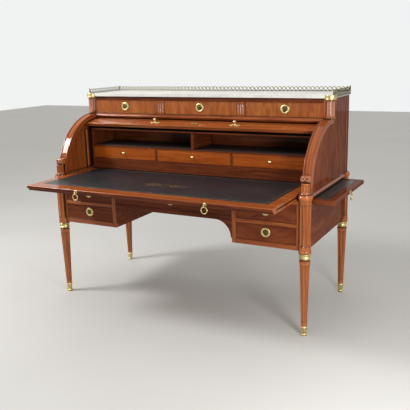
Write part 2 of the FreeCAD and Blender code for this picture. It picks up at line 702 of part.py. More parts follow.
def placed(shape, x, y, z, turn=0):
    shape = shape.copy()
    shape.rotate(V(0, 0, 0), V(0, 0, 1), turn)
    shape.translate(V(x, y, z))
    return shape


PULL_Z = 737.0
SIDE_PULL_Z = 702.0


def build_writing_slide():
    panel = box(-SLIDE_HALF, SLIDE_HALF, SLIDE_FRONT_Y, SLIDE_BACK_Y, SLIDE_Z0, SLIDE_Z1)
    groove_x = SLIDE_HALF - GROOVE_DEPTH
    groove = box(groove_x, SLIDE_HALF, SLIDE_FRONT_Y + GROOVE_STOP, SLIDE_BACK_Y, GROOVE_Z0, GROOVE_Z1)
    leather_x = SLIDE_HALF - LEATHER_SIDE
    y0 = SLIDE_FRONT_Y + LEATHER_FRONT
    y1 = SLIDE_BACK_Y - LEATHER_REAR
    sunk = box(-leather_x, leather_x, y0, y1, SLIDE_Z1 - LEATHER_T, SLIDE_Z1)
    save("writing_slide", [cut(panel, sunk, *pair(groove))])
    leather_z = SLIDE_Z1 - LEATHER_SINK
    save("writing_leather", [box(-leather_x, leather_x, y0, y1, SLIDE_Z1 - LEATHER_T, leather_z)])
    pull_y = SLIDE_FRONT_Y - PULL_STAND_OFF
    save("slide_pull_mounts", [placed(pull_mount(), sx * PULL_X, pull_y, PULL_Z) for sx in (-1, 1)])
    for name, sx in (("left", -1), ("right", 1)):
        save("slide_ring_" + name, [placed(pull_ring(), sx * PULL_X, pull_y, PULL_Z)])


def build_side_slide(name, side, out):
    """One side slide, drawn out by the distance that it rests at."""
    x1 = SIDE_SLIDE_SHUT_X + out
    x0 = x1 - SIDE_SLIDE_LEN
    margin = 38.0
    panel = box(x0, x1, -SIDE_SLIDE_Y, SIDE_SLIDE_Y, SIDE_SLIDE_Z0, SIDE_SLIDE_Z1)
    sunk = (x0 + margin, x1 - margin, -SIDE_SLIDE_Y + margin, SIDE_SLIDE_Y - margin)
    panel = panel.cut(box(*sunk, SIDE_SLIDE_Z1 - LEATHER_T, SIDE_SLIDE_Z1))
    leather = box(*sunk, SIDE_SLIDE_Z1 - LEATHER_T, SIDE_SLIDE_Z1 - LEATHER_SINK)
    pull_x = x1 + PULL_STAND_OFF
    mount = placed(pull_mount(), pull_x, 0, SIDE_PULL_Z, 90)
    ring = placed(pull_ring(), pull_x, 0, SIDE_PULL_Z, 90)
    for node, shape in (("slide", panel), ("leather", leather), ("pull_mount", mount), ("ring", ring)):
        save("side_" + node + "_" + name, [shape if side > 0 else mirrored(shape)])


# Drawers

def drawer(x0, x1, z0, z1, front_y, front_t, end_y, side_z, play=DRAWER_SIDE_PLAY, wall=DRAWER_WALL):
    """Front, two sides, back and bottom, each its own board."""
    y0 = front_y + front_t
    left = x0 + play
    right = x1 - play
    floor_z = z0 + 4
    floor_t = wall * 0.6
    return [
        box(x0, x1, front_y, y0, z0, z1),
        box(left, left + wall, y0, end_y, z0, side_z),
        box(right - wall, right, y0, end_y, z0, side_z),
        box(left + wall, right - wall, end_y - wall, end_y, z0, side_z),
        box(left + wall, right - wall, y0, end_y - wall, floor_z, floor_z + floor_t),
    ]


def keyhole():
    """A round hole over a slot, through the plane at y 0."""
    round_hole = Part.makeCylinder(3.4, 12, V(0, -6, 3), V(0, 1, 0))
    return round_hole.fuse(box(-1.6, 1.6, -6, 6, -8, 3))


def lock(x, z, front_y, front_t):
    """Round escutcheon with a raised rim and a keyhole, and the lock case behind the drawer front."""
    rim_r = ESCUTCHEON_R
    profile = [(0, 0), (rim_r, 0), (rim_r, 2.5), (rim_r - 1.2, 4), (rim_r - 3, 4), (rim_r - 4.5, 2.5)]
    profile += [(12, 3), (0, 3)]
    plate = turned_forward(profile).cut(keyhole())
    case = box(-24, 24, front_t, front_t + 9, -17, 17)
    return [placed(shape, x, front_y, z) for shape in (plate, case)]


def knob(x, z, front_y):
    profile = [(0, 0), (6, 0), (6, 1.5), (3, 3), (3, 7), (6.5, 10), (7.5, 13), (6.5, 16), (3, 18), (0, 18)]
    return [placed(turned_forward(profile), x, front_y, z)]


def build_drawers():
    g = DRAWER_GAP
    outer = (STILE_IN_X + g, STILE_OUT_X - g)
    lower = (LOW_RAIL_Z + g, MID_RAIL_Z0 - g, LOW_RAIL_Z + 80)
    upper = (MID_RAIL_Z1 + g, TOP_RAIL_Z - g, MID_RAIL_Z1 + 83)
    for side, (x0, x1) in (("left", (-outer[1], -outer[0])), ("right", outer)):
        for level, (z0, z1, side_z) in (("lower", lower), ("upper", upper)):
            name = side + "_" + level
            middle_x = (x0 + x1) / 2
            middle_z = (z0 + z1) / 2 + 6
            save("drawer_" + name, drawer(x0, x1, z0, z1, FRONT_Y, FRAME_T, 270, side_z))
            save("lock_" + name, lock(middle_x, middle_z, FRONT_Y, FRAME_T))

    x1 = KNEE_X - g
    z0 = APRON_Z1 + g
    z1 = TOP_RAIL_Z - g
    save("drawer_middle", drawer(-x1, x1, z0, z1, FRONT_Y, FRAME_T, 270, z0 + 75))
    save("lock_middle", lock(0, (z0 + z1) / 2 + 6, FRONT_Y, FRAME_T))

    half = BLOCK_W / 2
    z0 = TOP_FLOOR_Z1 + g
    z1 = TOP_RAIL_Z0 - g
    wide = (BLOCK_X + half + g, STILE_X0 - g)
    near = BLOCK_X - half - g
    tops = {"left": (-wide[1], -wide[0]), "middle": (-near, near), "right": wide}
    front_t = 18.0
    for side, (x0, x1) in tops.items():
        boards = drawer(x0, x1, z0, z1, TOP_FRONT_Y, front_t, 320, z0 + 66)
        save("drawer_top_" + side, boards)
        lock_x = 0.0 if side == "middle" else math.copysign(TOP_LOCK_X, x0)
        save("lock_top_" + side, lock(lock_x, (z0 + z1) / 2 + 3, TOP_FRONT_Y, front_t))

    z0 = CABINET_FLOOR_Z1 + g
    z1 = CABINET_SHELF_Z0 - g
    near = CABINET_DIVIDER_X - 6 - g
    far = CABINET_X - g
    inner = {"left": (-far, -near - 14), "middle": (-near, near), "right": (near + 14, far)}
    for side, (x0, x1) in inner.items():
        boards = drawer(x0, x1, z0, z1, CABINET_FRONT_Y, 14, 140, z0 + 58, 1.5, 7)
        save("drawer_inner_" + side, boards)
        knob_x = (x0 + x1) / 2
        save("knob_inner_" + side, knob(knob_x, (z0 + z1) / 2, CABINET_FRONT_Y))


def main():
    os.makedirs("parts", exist_ok=True)
    build_legs()
    build_lower_case()
    build_guides()
    build_upper_case()
    build_cabinet()
    build_top()
    build_marble_and_gallery()
    build_cylinder()
    build_writing_slide()
    build_side_slide("right", 1, SIDE_SLIDE_OUT)
    build_side_slide("left", -1, 0.0)
    build_drawers()


main()
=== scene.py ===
import itertools
import json
import math
import bpy
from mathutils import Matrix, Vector


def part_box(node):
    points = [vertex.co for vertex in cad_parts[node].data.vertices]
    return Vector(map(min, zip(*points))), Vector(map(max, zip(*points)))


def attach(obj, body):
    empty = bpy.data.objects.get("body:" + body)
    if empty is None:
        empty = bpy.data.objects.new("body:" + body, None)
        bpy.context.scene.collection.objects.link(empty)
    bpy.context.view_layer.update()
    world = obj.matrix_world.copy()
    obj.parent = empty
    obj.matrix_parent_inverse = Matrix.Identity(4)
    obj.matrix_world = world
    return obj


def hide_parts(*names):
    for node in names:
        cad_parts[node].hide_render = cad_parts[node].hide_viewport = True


# Cylinder desk in polished mahogany. Sizes are in millimetres, turned to metres as a piece is made.

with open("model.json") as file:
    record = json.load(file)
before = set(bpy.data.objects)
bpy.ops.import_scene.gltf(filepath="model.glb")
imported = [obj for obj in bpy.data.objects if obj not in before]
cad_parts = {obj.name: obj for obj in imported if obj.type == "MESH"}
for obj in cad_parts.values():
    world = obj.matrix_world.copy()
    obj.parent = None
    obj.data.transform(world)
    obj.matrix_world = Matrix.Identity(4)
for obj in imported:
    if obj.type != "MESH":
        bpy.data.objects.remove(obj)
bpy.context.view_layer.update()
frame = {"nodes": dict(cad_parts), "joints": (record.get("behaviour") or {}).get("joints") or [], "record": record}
nodes = frame["nodes"]
record = frame["record"]
MM = 0.001
BODY_OF = {node: body for body, held in record["behaviour"]["bodies"].items() for node in held}
FEET = {
    m["name"][5:]: Vector(m["pos_m"]) / MM
    for m in record["mounts"] if m["name"].startswith("foot_")
}
PIVOT = {j["name"]: Vector(j["pos_m"]) / MM for j in frame["joints"] if j["type"] == "hinge"}
AXIS = PIVOT["cylinder_turn"]

SIDES = (("left", -1), ("right", 1))

# Turned work
FLUTES = 8
STEPS_PER_FLUTE = 10
FLUTE_SHARE = 0.82
SHOE_TOP = 52
SHAFT_FOOT_R = 16
SHAFT_TOP_R = 27.5
SHAFT_TOP_Z = 400
NECK_R = 24.5
COLLAR_Z = (421, 451)
POST_R = 31
POST_FOOT_Z = 466
RING_Z = (722, 752)
SHORT_POST = (779, -338)
SHORT_POST_R = 22.5
SHORT_POST_TOP_Z = 809
VOLUTES = (778, -346, 832)
COLUMN = (788, 27)
COLUMN_R = 25
COLUMN_Z = (1092, 1198)
BLOCK_X = 267
BLOCK_Y = 20
BLOCK_TOP_Z = 1174

# Curved work about the cylinder's axis
SHELL_R = 325
SHELL_T = 16
SHELL_HALF = 776
OPEN_EDGE = 67.5
SHELL_SPAN = 89.5
STILE_X = (752, 802)
STILE_R = (329, 353, 357)
STILE_FILLET = 7
STILE_ANGLES = (3.0, 88.0)
HANDLE_X = 264
HANDLE_ANGLE = 75.5

# Top and gallery
GALLERY_X = 803
GALLERY_BACK_Y = 355
GALLERY_H = 27
GALLERY_LOOP = 52
GALLERY_WIRE = 4.0
MARBLE_TOP = 1216
MARBLE_EDGE_X = 806

# Writing slide: where the tooled spray lies, and the tooled lines' inset and width
ORNAMENT_Y = -395
TOOLED_LINES = ((16, 3.0), (23, 1.2))
NOSE_R = 4
COVE_SHARE = 0.55
SHADED_EDGE = 18
RING_R = 16
RING_DROP = 21.7

# Drawer fronts
BEAD = 3.6
BEAD_PROUD = 1.2
FRONT_T = {"drawer_top": 18, "drawer_inner": 14}
LOWER_FRONT_T = 20
LOCK_CASE_BEHIND = 15

# Inner cabinet: a board farther out is a jamb, and a level one higher up lines a pigeonhole
JAMB_FROM_X = 760
PIGEONHOLE_FROM_Z = 850

# Back: a board wider than this has three sunk panels
FRAME_W = 54
FRAME_PROUD = 3
WIDE_BACK = 600

# Camera, worked out from the photograph: place in metres, turn in degrees
CAMERA_AT = (1.7596, -3.2263, 1.4425)
CAMERA_TURN = (76.37, 1.47, 27.82)
LENS = 54.67
SENSOR = 36.0


# Selecting, placing and finishing

def activate(piece):
    bpy.ops.object.select_all(action="DESELECT")
    piece.select_set(True)
    bpy.context.view_layer.objects.active = piece


def nodes_named(start):
    return [node for node in nodes if node.startswith(start)]


def mm_box(node):
    lo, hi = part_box(node)
    return lo / MM, hi / MM


def place(piece, at=(0, 0, 0), turn=(0, 0, 0), size=(1, 1, 1)):
    """Turns, then moves a piece, and puts its place into its mesh."""
    piece.location = Vector(at) * MM
    piece.rotation_euler = [math.radians(a) for a in turn]
    piece.scale = size
    activate(piece)
    bpy.ops.object.transform_apply(location=True, rotation=True, scale=True)
    return piece


def twin(piece, name):
    """A copy with its own mesh."""
    other = piece.copy()
    other.data = piece.data.copy()
    other.name = name
    bpy.context.scene.collection.objects.link(other)
    return other


def both_sides(right):
    """The mirror image of a right-hand piece, faced outwards again, and the piece itself."""
    left = place(twin(right, right.name.replace("right", "left")), size=(-1, 1, 1))
    bpy.ops.object.mode_set(mode="EDIT")
    face_out()
    return left, right


def joined(name, pieces):
    activate(pieces[0])
    for piece in pieces[1:]:
        piece.select_set(True)
    bpy.ops.object.join()
    pieces[0].name = name
    return pieces[0]


def discard(piece):
    bpy.data.objects.remove(piece, do_unlink=True)


def pick(piece, kind, chosen):
    """Selects the vertices, edges or faces with these numbers and goes into edit mode."""
    bpy.context.view_layer.objects.active = piece
    bpy.ops.object.mode_set(mode="OBJECT")
    chosen = set(chosen)
    groups = (piece.data.vertices, piece.data.edges, piece.data.polygons)
    for group in groups:
        group.foreach_set("select", [group == kind and i in chosen for i in range(len(group))])
    bpy.context.tool_settings.mesh_select_mode = [group == kind for group in groups]
    bpy.ops.object.mode_set(mode="EDIT")


def pick_faces(piece, test):
    """Selects the faces whose centre and normal pass the test; the centre is in millimetres."""
    faces = piece.data.polygons
    pick(piece, faces, [f.index for f in faces if test(f.center / MM, f.normal)])


def close_seams():
    """Merges the points that meet, in the piece in edit mode, and leaves all selected."""
    bpy.ops.mesh.select_all(action="SELECT")
    bpy.ops.mesh.remove_doubles(threshold=0.01 * MM)


def face_out():
    """Closes the seams of the piece in edit mode, turns its faces outwards and leaves edit mode."""
    close_seams()
    bpy.ops.mesh.normals_make_consistent(inside=False)
    bpy.ops.object.mode_set(mode="OBJECT")


def apply_modifier(piece, kind, **settings):
    modifier = piece.modifiers.new(kind.lower(), kind)
    for key, value in settings.items():
        setattr(modifier, key, value)
    activate(piece)
    bpy.ops.object.modifier_apply(modifier=modifier.name)


def round_edges(piece, width, segments=2, angle=35):
    apply_modifier(
        piece, "BEVEL", width=width * MM, segments=segments, limit_method="ANGLE",
        angle_limit=math.radians(angle), use_clamp_overlap=True,
    )


def smooth(piece, angle=50):
    """Smooth shading that keeps the flat faces flat."""
    activate(piece)
    bpy.ops.object.shade_smooth_by_angle(angle=math.radians(angle))
    apply_modifier(piece, "WEIGHTED_NORMAL", keep_sharp=True)


def fit(piece, finish, *stands_for):
    """Gives a piece its finish and hangs it on the body whose nodes it stands for."""
    if finish:
        piece.data.materials.clear()
        piece.data.materials.append(finish)
    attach(piece, BODY_OF[stands_for[0]])
    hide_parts(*stands_for)
    return piece


# Making shapes

def block(name, lo, hi):
    """A board between two corners."""
    bpy.ops.object.select_all(action="DESELECT")
    centre = [(a + b) / 2 * MM for a, b in zip(lo, hi)]
    spans = [(b - a) * MM for a, b in zip(lo, hi)]
    bpy.ops.mesh.primitive_cube_add(size=1, location=centre, scale=spans)
    piece = bpy.context.active_object
    piece.name = name
    bpy.ops.object.transform_apply(location=True, rotation=True, scale=True)
    return piece


def draw(name, points):
    """Draws a line from point to point, and stays in edit mode."""
    bpy.ops.object.select_all(action="DESELECT")
    bpy.ops.mesh.primitive_plane_add(size=MM)
    piece = bpy.context.active_object
    piece.name = name
    bpy.context.tool_settings.mesh_select_mode = (True, False, False)
    bpy.ops.object.mode_set(mode="EDIT")
    bpy.ops.mesh.merge(type="CENTER")
    bpy.ops.transform.translate(value=Vector(points[0]) * MM)
    for a, b in zip(points, points[1:]):
        step = (Vector(b) - Vector(a)) * MM
        bpy.ops.mesh.extrude_vertices_move(TRANSFORM_OT_translate={"value": step})
    return piece


def fill_outline(name, points):
    """A flat face with this outline, picked in edit mode."""
    piece = draw(name, points + points[:1])
    close_seams()
    bpy.ops.mesh.edge_face_add()
    return piece


def turned(name, profile, steps=48, forward=False):
    """A piece from the lathe: (radius, height) points turned about the upright, or about the line
    to the sitter."""
    piece = draw(name, [(r, -h, 0) if forward else (r, 0, h) for r, h in profile])
    axis = (0, -1, 0) if forward else (0, 0, 1)
    bpy.ops.mesh.select_all(action="SELECT")
    bpy.ops.mesh.spin(steps=steps, angle=2 * math.pi, center=(0, 0, 0), axis=axis)
    face_out()
    return piece


def bulge(r0, h0, r1, h1, out, count=6):
    """A round moulding of a profile, swelling out between one (radius, height) and another."""
    points = []
    for i in range(count + 1):
        t = i / count
        points.append((r0 + (r1 - r0) * t + out * math.sin(math.pi * t), h0 + (h1 - h0) * t))
    return points


def moulding(name, outline, run):
    """A straight moulding: an outline pushed along its run."""
    piece = fill_outline(name, outline)
    bpy.ops.mesh.extrude_region_move(TRANSFORM_OT_translate={"value": Vector(run) * MM})
    face_out()
    return piece


def on_axis(x, radius, angle):
    a = math.radians(angle)
    return (x, AXIS.y - radius * math.cos(a), AXIS.z + radius * math.sin(a))


def swept(name, section, start, end, steps):
    """A section of (x, radius) points swept about the cylinder's axis between two angles."""
    piece = fill_outline(name, [on_axis(x, r, start) for x, r in section])
    bpy.ops.mesh.spin(
        steps=steps, angle=math.radians(end - start), center=AXIS * MM, axis=(1, 0, 0)
    )
    face_out()
    return piece


def wire(name, points, thick):
    """A round wire along a line of points."""
    draw(name, points)
    close_seams()
    bpy.ops.object.mode_set(mode="OBJECT")
    bpy.ops.object.convert(target="CURVE")
    line = bpy.context.active_object.data
    line.bevel_depth = thick / 2 * MM
    line.bevel_resolution = 1
    line.use_fill_caps = True
    bpy.ops.object.convert(target="MESH")
    return bpy.context.active_object


def sink_front(piece, border, depth):
    """Sinks the face towards the sitter inside a border."""
    pick_faces(piece, lambda centre, normal: normal.y < -0.9)
    bpy.ops.mesh.inset(thickness=border * MM)
    bpy.ops.mesh.extrude_region_move(TRANSFORM_OT_translate={"value": (0, depth * MM, 0)})
    bpy.ops.object.mode_set(mode="OBJECT")


def cut_away(piece, *cutters):
    """Cuts the cutters' shapes out of a piece and does away with them."""
    for cutter in cutters:
        apply_modifier(piece, "BOOLEAN", object=cutter, operation="DIFFERENCE", solver="EXACT")
        discard(cutter)


def connected(count, links):
    """Groups the numbers below count that the links join."""
    root = list(range(count))

    def top(i):
        while root[i] != i:
            root[i] = root[root[i]]
            i = root[i]
        return i

    for a, b in links:
        root[top(a)] = top(b)
    groups = {}
    for i in range(count):
        groups.setdefault(top(i), []).append(i)
    return list(groups.values())


def solids(node):
    """The node's solids as pieces of their own, their flat faces whole again. Faces belong to one
    solid where just two of them share an edge."""
    source = nodes[node].data
    spots = {}
    ids = [spots.setdefault(tuple(round(c, 6) for c in v.co), v.index) for v in source.vertices]
    uses = {}
    for face in source.polygons:
        corners = [ids[i] for i in face.vertices]
        for a, b in zip(corners, corners[1:] + corners[:1]):
            uses.setdefault(frozenset((a, b)), []).append(face.index)
    groups = connected(len(source.polygons), [faces for faces in uses.values() if len(faces) == 2])
    pieces = []
    for group in groups:
        piece = bpy.data.objects.new("%s_%d" % (node, len(pieces)), source.copy())
        bpy.context.scene.collection.objects.link(piece)
        piece.data.materials.clear()
        activate(piece)
        if len(groups) > 1:
            others = set(range(len(source.polygons))) - set(group)
            pick(piece, piece.data.polygons, others)
            bpy.ops.mesh.delete(type="FACE")
        bpy.ops.object.mode_set(mode="EDIT")
        bpy.ops.mesh.select_all(action="SELECT")
        bpy.ops.mesh.customdata_custom_splitnormals_clear()
        bpy.ops.mesh.remove_doubles(threshold=0.001 * MM)
        bpy.ops.mesh.dissolve_limited(angle_limit=math.radians(0.4))
        bpy.ops.object.mode_set(mode="OBJECT")
        pieces.append(piece)
    return pieces


def box_of(piece):
    """The two corners of a piece's box, in millimetres."""
    spots = [v.co for v in piece.data.vertices]
    lo, hi = (Vector([end(s[k] for s in spots) / MM for k in range(3)]) for end in (min, max))
    return lo, hi


def middle(piece):
    lo, hi = box_of(piece)
    return (lo + hi) / 2


# Grain: every board's vertices hold where they lie in its own timber, along the grain first

board_numbers = itertools.count()


def boards(mesh):
    """The vertex numbers of each loose board in a mesh."""
    return connected(len(mesh.vertices), [edge.vertices for edge in mesh.edges])


def hold_grain(mesh, places):
    layer = mesh.attributes.new("grain", "FLOAT_VECTOR", "POINT")
    layer.data.foreach_set("vector", [x for place_ in places for x in place_])


def timber_shift():
    """Where in the log the next board is cut."""
    number = next(board_numbers)
    return Vector((number * 0.61 % 7.3, number * 0.37 % 3.1, number * 0.23 % 2.3))


def lay_grain(piece, along=None):
    """Runs the grain along each board's longest side, or along one axis."""
    mesh = piece.data
    places = [None] * len(mesh.vertices)
    for board in boards(mesh):
        spots = [mesh.vertices[i].co for i in board]
        spans = [max(s[k] for s in spots) - min(s[k] for s in spots) for k in range(3)]
        axis = spans.index(max(spans)) if along is None else along
        order = [axis] + [k for k in range(3) if k != axis]
        shift = timber_shift()
        for i, spot in zip(board, spots):
            places[i] = [spot[k] + shift[n] for n, k in enumerate(order)]
    hold_grain(mesh, places)


def lay_grain_round(piece):
    """Runs the grain round the cylinder's axis, as in a bent or built-up piece."""
    shift = timber_shift()
    places = []
    for vertex in piece.data.vertices:
        out = vertex.co - AXIS * MM
        radius = math.hypot(out.y, out.z)
        angle = math.atan2(out.z, -out.y)
        places.append(Vector((angle * SHELL_R * MM, out.x, radius)) + shift)
    hold_grain(piece.data, places)


# Finishes

def linear(colour):
    """The linear colour of an sRGB hex value."""
    channels = []
    for i in (1, 3, 5):
        c = int(colour[i:i + 2], 16) / 255
        channels.append(c / 12.92 if c <= 0.04045 else ((c + 0.055) / 1.055) ** 2.4)
    return (*channels, 1.0)


def set_inputs(tree, node, inputs):
    """Sets a node's inputs to values, or links them to other nodes' outputs."""
    for key, value in inputs.items():
        if isinstance(value, bpy.types.NodeSocket):
            tree.links.new(value, node.inputs[key])
        else:
            node.inputs[key].default_value = value


def add(tree, kind, inputs=None, **settings):
    """Adds a node with its own settings and inputs."""
    node = tree.nodes.new("ShaderNode" + kind)
    for key, value in settings.items():
        setattr(node, key, value)
    set_inputs(tree, node, inputs or {})
    return node


def new_finish(name):
    material = bpy.data.materials.new(name)
    material.use_nodes = True
    return material, material.node_tree, material.node_tree.nodes["Principled BSDF"]


def streaks(tree, vector, along, across, detail=3.0):
    """Noise drawn out along the grain; along and across are its size in millimetres."""
    scale = (1 / (along * MM), 1 / (across * MM), 1 / (across * MM))
    drawn_out = add(tree, "Mapping", {"Vector": vector, "Scale": scale}).outputs[0]
    noise = add(tree, "TexNoise", {"Vector": drawn_out, "Scale": 1.0, "Detail": detail})
    return noise.outputs["Fac"]


# The length and width of a figure's ribbons, then the size and reach of its swirls, in millimetres
STRAIGHT = ((300, 13), (260, 40))
QUIET = ((280, 14), (240, 30))
FLAMED = ((170, 26), (190, 90))
CLOUDED = ((170, 34), (190, 90))
CLOSE = ((220, 7), (300, 20))
# Painted shade: how far round a point counts as its hollow; how open it is where the shade is full or none
CORNERS = (10, 0.5, 0.95)
FLUTED = (22, 0.74, 0.97)


def timber(name, dark, medium, light, run, roughness, coat, kept_in_shade=0.15, hollow=CORNERS):
    """Figured timber: broad bands, ribbons of light figure, dark pores, painted shade in hollows, under a film of
    polish.
    """
    material, tree, shader = new_finish(name)
    ribbon, wander = run
    grain = add(tree, "Attribute", attribute_name="grain").outputs["Vector"]
    swirl = add(tree, "TexNoise", {"Vector": grain, "Scale": 1 / (wander[0] * MM), "Detail": 2.0})
    centred = add(
        tree, "VectorMath", {0: swirl.outputs["Color"], 1: (0.5, 0.5, 0.5)}, operation="SUBTRACT"
    )
    push = add(
        tree, "VectorMath", {0: centred.outputs[0], "Scale": wander[1] * MM}, operation="SCALE"
    )
    figure = add(tree, "VectorMath", {0: grain, 1: push.outputs[0]}).outputs[0]
    band = streaks(tree, figure, ribbon[0] * 3, ribbon[1] * 5)
    stripe = streaks(tree, figure, ribbon[0], ribbon[1], 5.0)
    # Real pores are finer than a pixel, so these are drawn about three times as wide
    pore = streaks(tree, grain, 28, 1.4, 1.0)
    band_share = add(
        tree, "MapRange", {"Value": band, "From Min": 0.3, "From Max": 0.68}
    ).outputs[0]
    ground = add(tree, "Mix", {0: band_share, 6: linear(dark), 7: linear(medium)}, data_type="RGBA")
    stripe_share = add(
        tree, "MapRange", {"Value": stripe, "From Min": 0.4, "From Max": 0.8}
    ).outputs[0]
    lit = add(
        tree, "Mix", {0: stripe_share, 6: ground.outputs[2], 7: linear(light)}, data_type="RGBA"
    )
    pore_share = add(
        tree, "MapRange", {"Value": pore, "From Min": 0.58, "From Max": 0.76, "To Max": 0.35}
    ).outputs[0]
    pored = add(
        tree, "Mix", {0: pore_share, 6: lit.outputs[2], 7: linear("#35130a")}, data_type="RGBA"
    )
    # Painted shade: hollows and corners darkened towards a near-black brown by ambient occlusion
    reach, shut, free = hollow
    openness = add(tree, "AmbientOcclusion", {"Distance": reach * MM}, samples=6).outputs["AO"]
    open_share = add(
        tree, "MapRange", {"Value": openness, "From Min": shut, "From Max": free, "To Min": kept_in_shade}
    ).outputs[0]
    hollow_shaded = add(
        tree, "Mix", {0: open_share, 6: linear("#1c0b06"), 7: pored.outputs[2]}, data_type="RGBA"
    )
    rough = add(
        tree, "MapRange", {"Value": stripe, "To Min": roughness - 0.06, "To Max": roughness + 0.08}
    ).outputs[0]
    # Old polish is never dead flat: broad waves of a few hundredths, and the pores' tiny dents
    waves = streaks(tree, grain, 160, 55, 1.0)
    surface = add(
        tree, "Math", {0: pore_share, 1: -0.02, 2: waves}, operation="MULTIPLY_ADD"
    ).outputs[0]
    dents = add(tree, "Bump", {"Height": surface, "Strength": 0.5, "Distance": 0.7 * MM}).outputs[0]
    set_inputs(tree, shader, {"Base Color": hollow_shaded.outputs[2], "Roughness": rough, "Normal": dents})
    # The film of polish carries the gloss; bare wood has its own weak one
    film = {"Coat Weight": coat, "Coat IOR": 1.4, "Coat Roughness": 0.05}
    set_inputs(tree, shader, {"Specular IOR Level": 0.0 if coat else 0.25, **film})
    return material


def brass(name, rubbed, gilt, hollow):
    """Cast brass: burnished where it stands proud, brown in the hollows, mottled with wear."""
    material, tree, shader = new_finish(name)
    spot = add(tree, "TexCoord").outputs["Object"]
    worn = add(
        tree, "TexNoise", {"Vector": spot, "Scale": 1 / (9 * MM), "Detail": 4.0}
    ).outputs["Fac"]
    openness = add(tree, "AmbientOcclusion", {"Distance": 6 * MM}, samples=8).outputs["AO"]
    open_share = add(
        tree, "MapRange", {"Value": openness, "From Min": 0.4, "From Max": 0.95}
    ).outputs[0]
    worn_share = add(
        tree, "MapRange", {"Value": worn, "From Min": 0.35, "From Max": 0.7}
    ).outputs[0]
    gold = add(tree, "Mix", {0: worn_share, 6: linear(rubbed), 7: linear(gilt)}, data_type="RGBA")
    aged = add(
        tree, "Mix", {0: open_share, 6: linear(hollow), 7: gold.outputs[2]}, data_type="RGBA"
    )
    rough = add(tree, "MapRange", {"Value": worn, "To Min": 0.28, "To Max": 0.5}).outputs[0]
    dents = add(tree, "Bump", {"Height": worn, "Strength": 0.3, "Distance": 0.4 * MM}).outputs[0]
    look = {"Base Color": aged.outputs[2], "Roughness": rough, "Normal": dents, "Metallic": 1.0}
    set_inputs(tree, shader, look)
    return material


def black_leather():
    """Skiver leather, waxed blue-black: fine pebbled grain, greyer where hands have rubbed it."""
    material, tree, shader = new_finish("black_leather")
    spot = add(tree, "TexCoord").outputs["Object"]
    # The real pebble is under a millimetre; it is drawn at two so that it shows
    pebble = add(tree, "TexVoronoi", {"Vector": spot, "Scale": 1 / (2 * MM)}).outputs["Distance"]
    rubbed = add(
        tree, "TexNoise", {"Vector": spot, "Scale": 1 / (130 * MM), "Detail": 5.0}
    ).outputs["Fac"]
    rubbed_share = add(
        tree, "MapRange", {"Value": rubbed, "From Min": 0.35, "From Max": 0.7}
    ).outputs[0]
    hide = add(
        tree, "Mix", {0: rubbed_share, 6: linear("#111c23"), 7: linear("#1b2429")}, data_type="RGBA"
    )
    rough = add(tree, "MapRange", {"Value": rubbed, "To Min": 0.3, "To Max": 0.44}).outputs[0]
    dents = add(tree, "Bump", {"Height": pebble, "Strength": 0.25, "Distance": 0.3 * MM}).outputs[0]
    look = {"Base Color": hide.outputs[2], "Roughness": rough, "Normal": dents}
    set_inputs(tree, shader, {"Specular IOR Level": 0.5, **look})
    return material


def gold_leaf():
    """Gold leaf tooled into the leather: thin, broken where it has rubbed away."""
    material, tree, shader = new_finish("gold_leaf")
    spot = add(tree, "TexCoord").outputs["Object"]
    rubbed = add(
        tree, "TexNoise", {"Vector": spot, "Scale": 1 / (14 * MM), "Detail": 6.0}
    ).outputs["Fac"]
    kept = add(tree, "MapRange", {"Value": rubbed, "From Min": 0.4, "From Max": 0.62}).outputs[0]
    gold = add(tree, "Mix", {0: kept, 6: linear("#2b2522"), 7: linear("#8d754c")}, data_type="RGBA")
    set_inputs(tree, shader, {"Base Color": gold.outputs[2], "Metallic": 0.4, "Roughness": 0.45})
    return material


def white_marble():
    """Polished white marble: cool white with faint grey clouds and hair veins."""
    material, tree, shader = new_finish("white_marble")
    spot = add(tree, "TexCoord").outputs["Object"]
    cloud = add(
        tree, "TexNoise", {"Vector": spot, "Scale": 1 / (170 * MM), "Detail": 6.0}
    ).outputs["Fac"]
    vein = add(
        tree, "TexNoise",
        {"Vector": spot, "Scale": 1 / (240 * MM), "Detail": 7.0, "Distortion": 1.4},
    ).outputs["Fac"]
    away = add(tree, "Math", {0: vein, 1: 0.5}, operation="SUBTRACT").outputs[0]
    near = add(tree, "Math", {0: away}, operation="ABSOLUTE").outputs[0]
    vein_share = add(
        tree, "MapRange", {"Value": near, "From Max": 0.022, "To Min": 0.2, "To Max": 0.0}
    ).outputs[0]
    cloud_share = add(
        tree, "MapRange", {"Value": cloud, "From Min": 0.4, "From Max": 0.7}
    ).outputs[0]
    ground = add(
        tree, "Mix", {0: cloud_share, 6: linear("#ebe9e3"), 7: linear("#dddcd6")}, data_type="RGBA"
    )
    veined = add(
        tree, "Mix", {0: vein_share, 6: ground.outputs[2], 7: linear("#9a9a98")}, data_type="RGBA"
    )
    set_inputs(tree, shader, {"Base Color": veined.outputs[2], "Roughness": 0.18})
    return material


def blackened_iron():
    """Forged iron arms, lock cases and pins: scaly grey-black."""
    material, tree, shader = new_finish("blackened_iron")
    spot = add(tree, "TexCoord").outputs["Object"]
    scale = add(
        tree, "TexNoise", {"Vector": spot, "Scale": 1 / (6 * MM), "Detail": 5.0}
    ).outputs["Fac"]
    metal = add(
        tree, "Mix", {0: scale, 6: linear("#26221f"), 7: linear("#4a4540")}, data_type="RGBA"
    )
    dents = add(tree, "Bump", {"Height": scale, "Strength": 0.5, "Distance": 0.3 * MM}).outputs[0]
    look = {"Base Color": metal.outputs[2], "Roughness": 0.5, "Normal": dents, "Metallic": 0.9}
    set_inputs(tree, shader, look)
    return material


# French-polished mahogany: red-brown, straight ribbon stripe, a thin glossy film over the grain
MAHOGANY = timber("polished_mahogany", "#763617", "#974d24", "#b0642f", STRAIGHT, 0.4, 0.8)
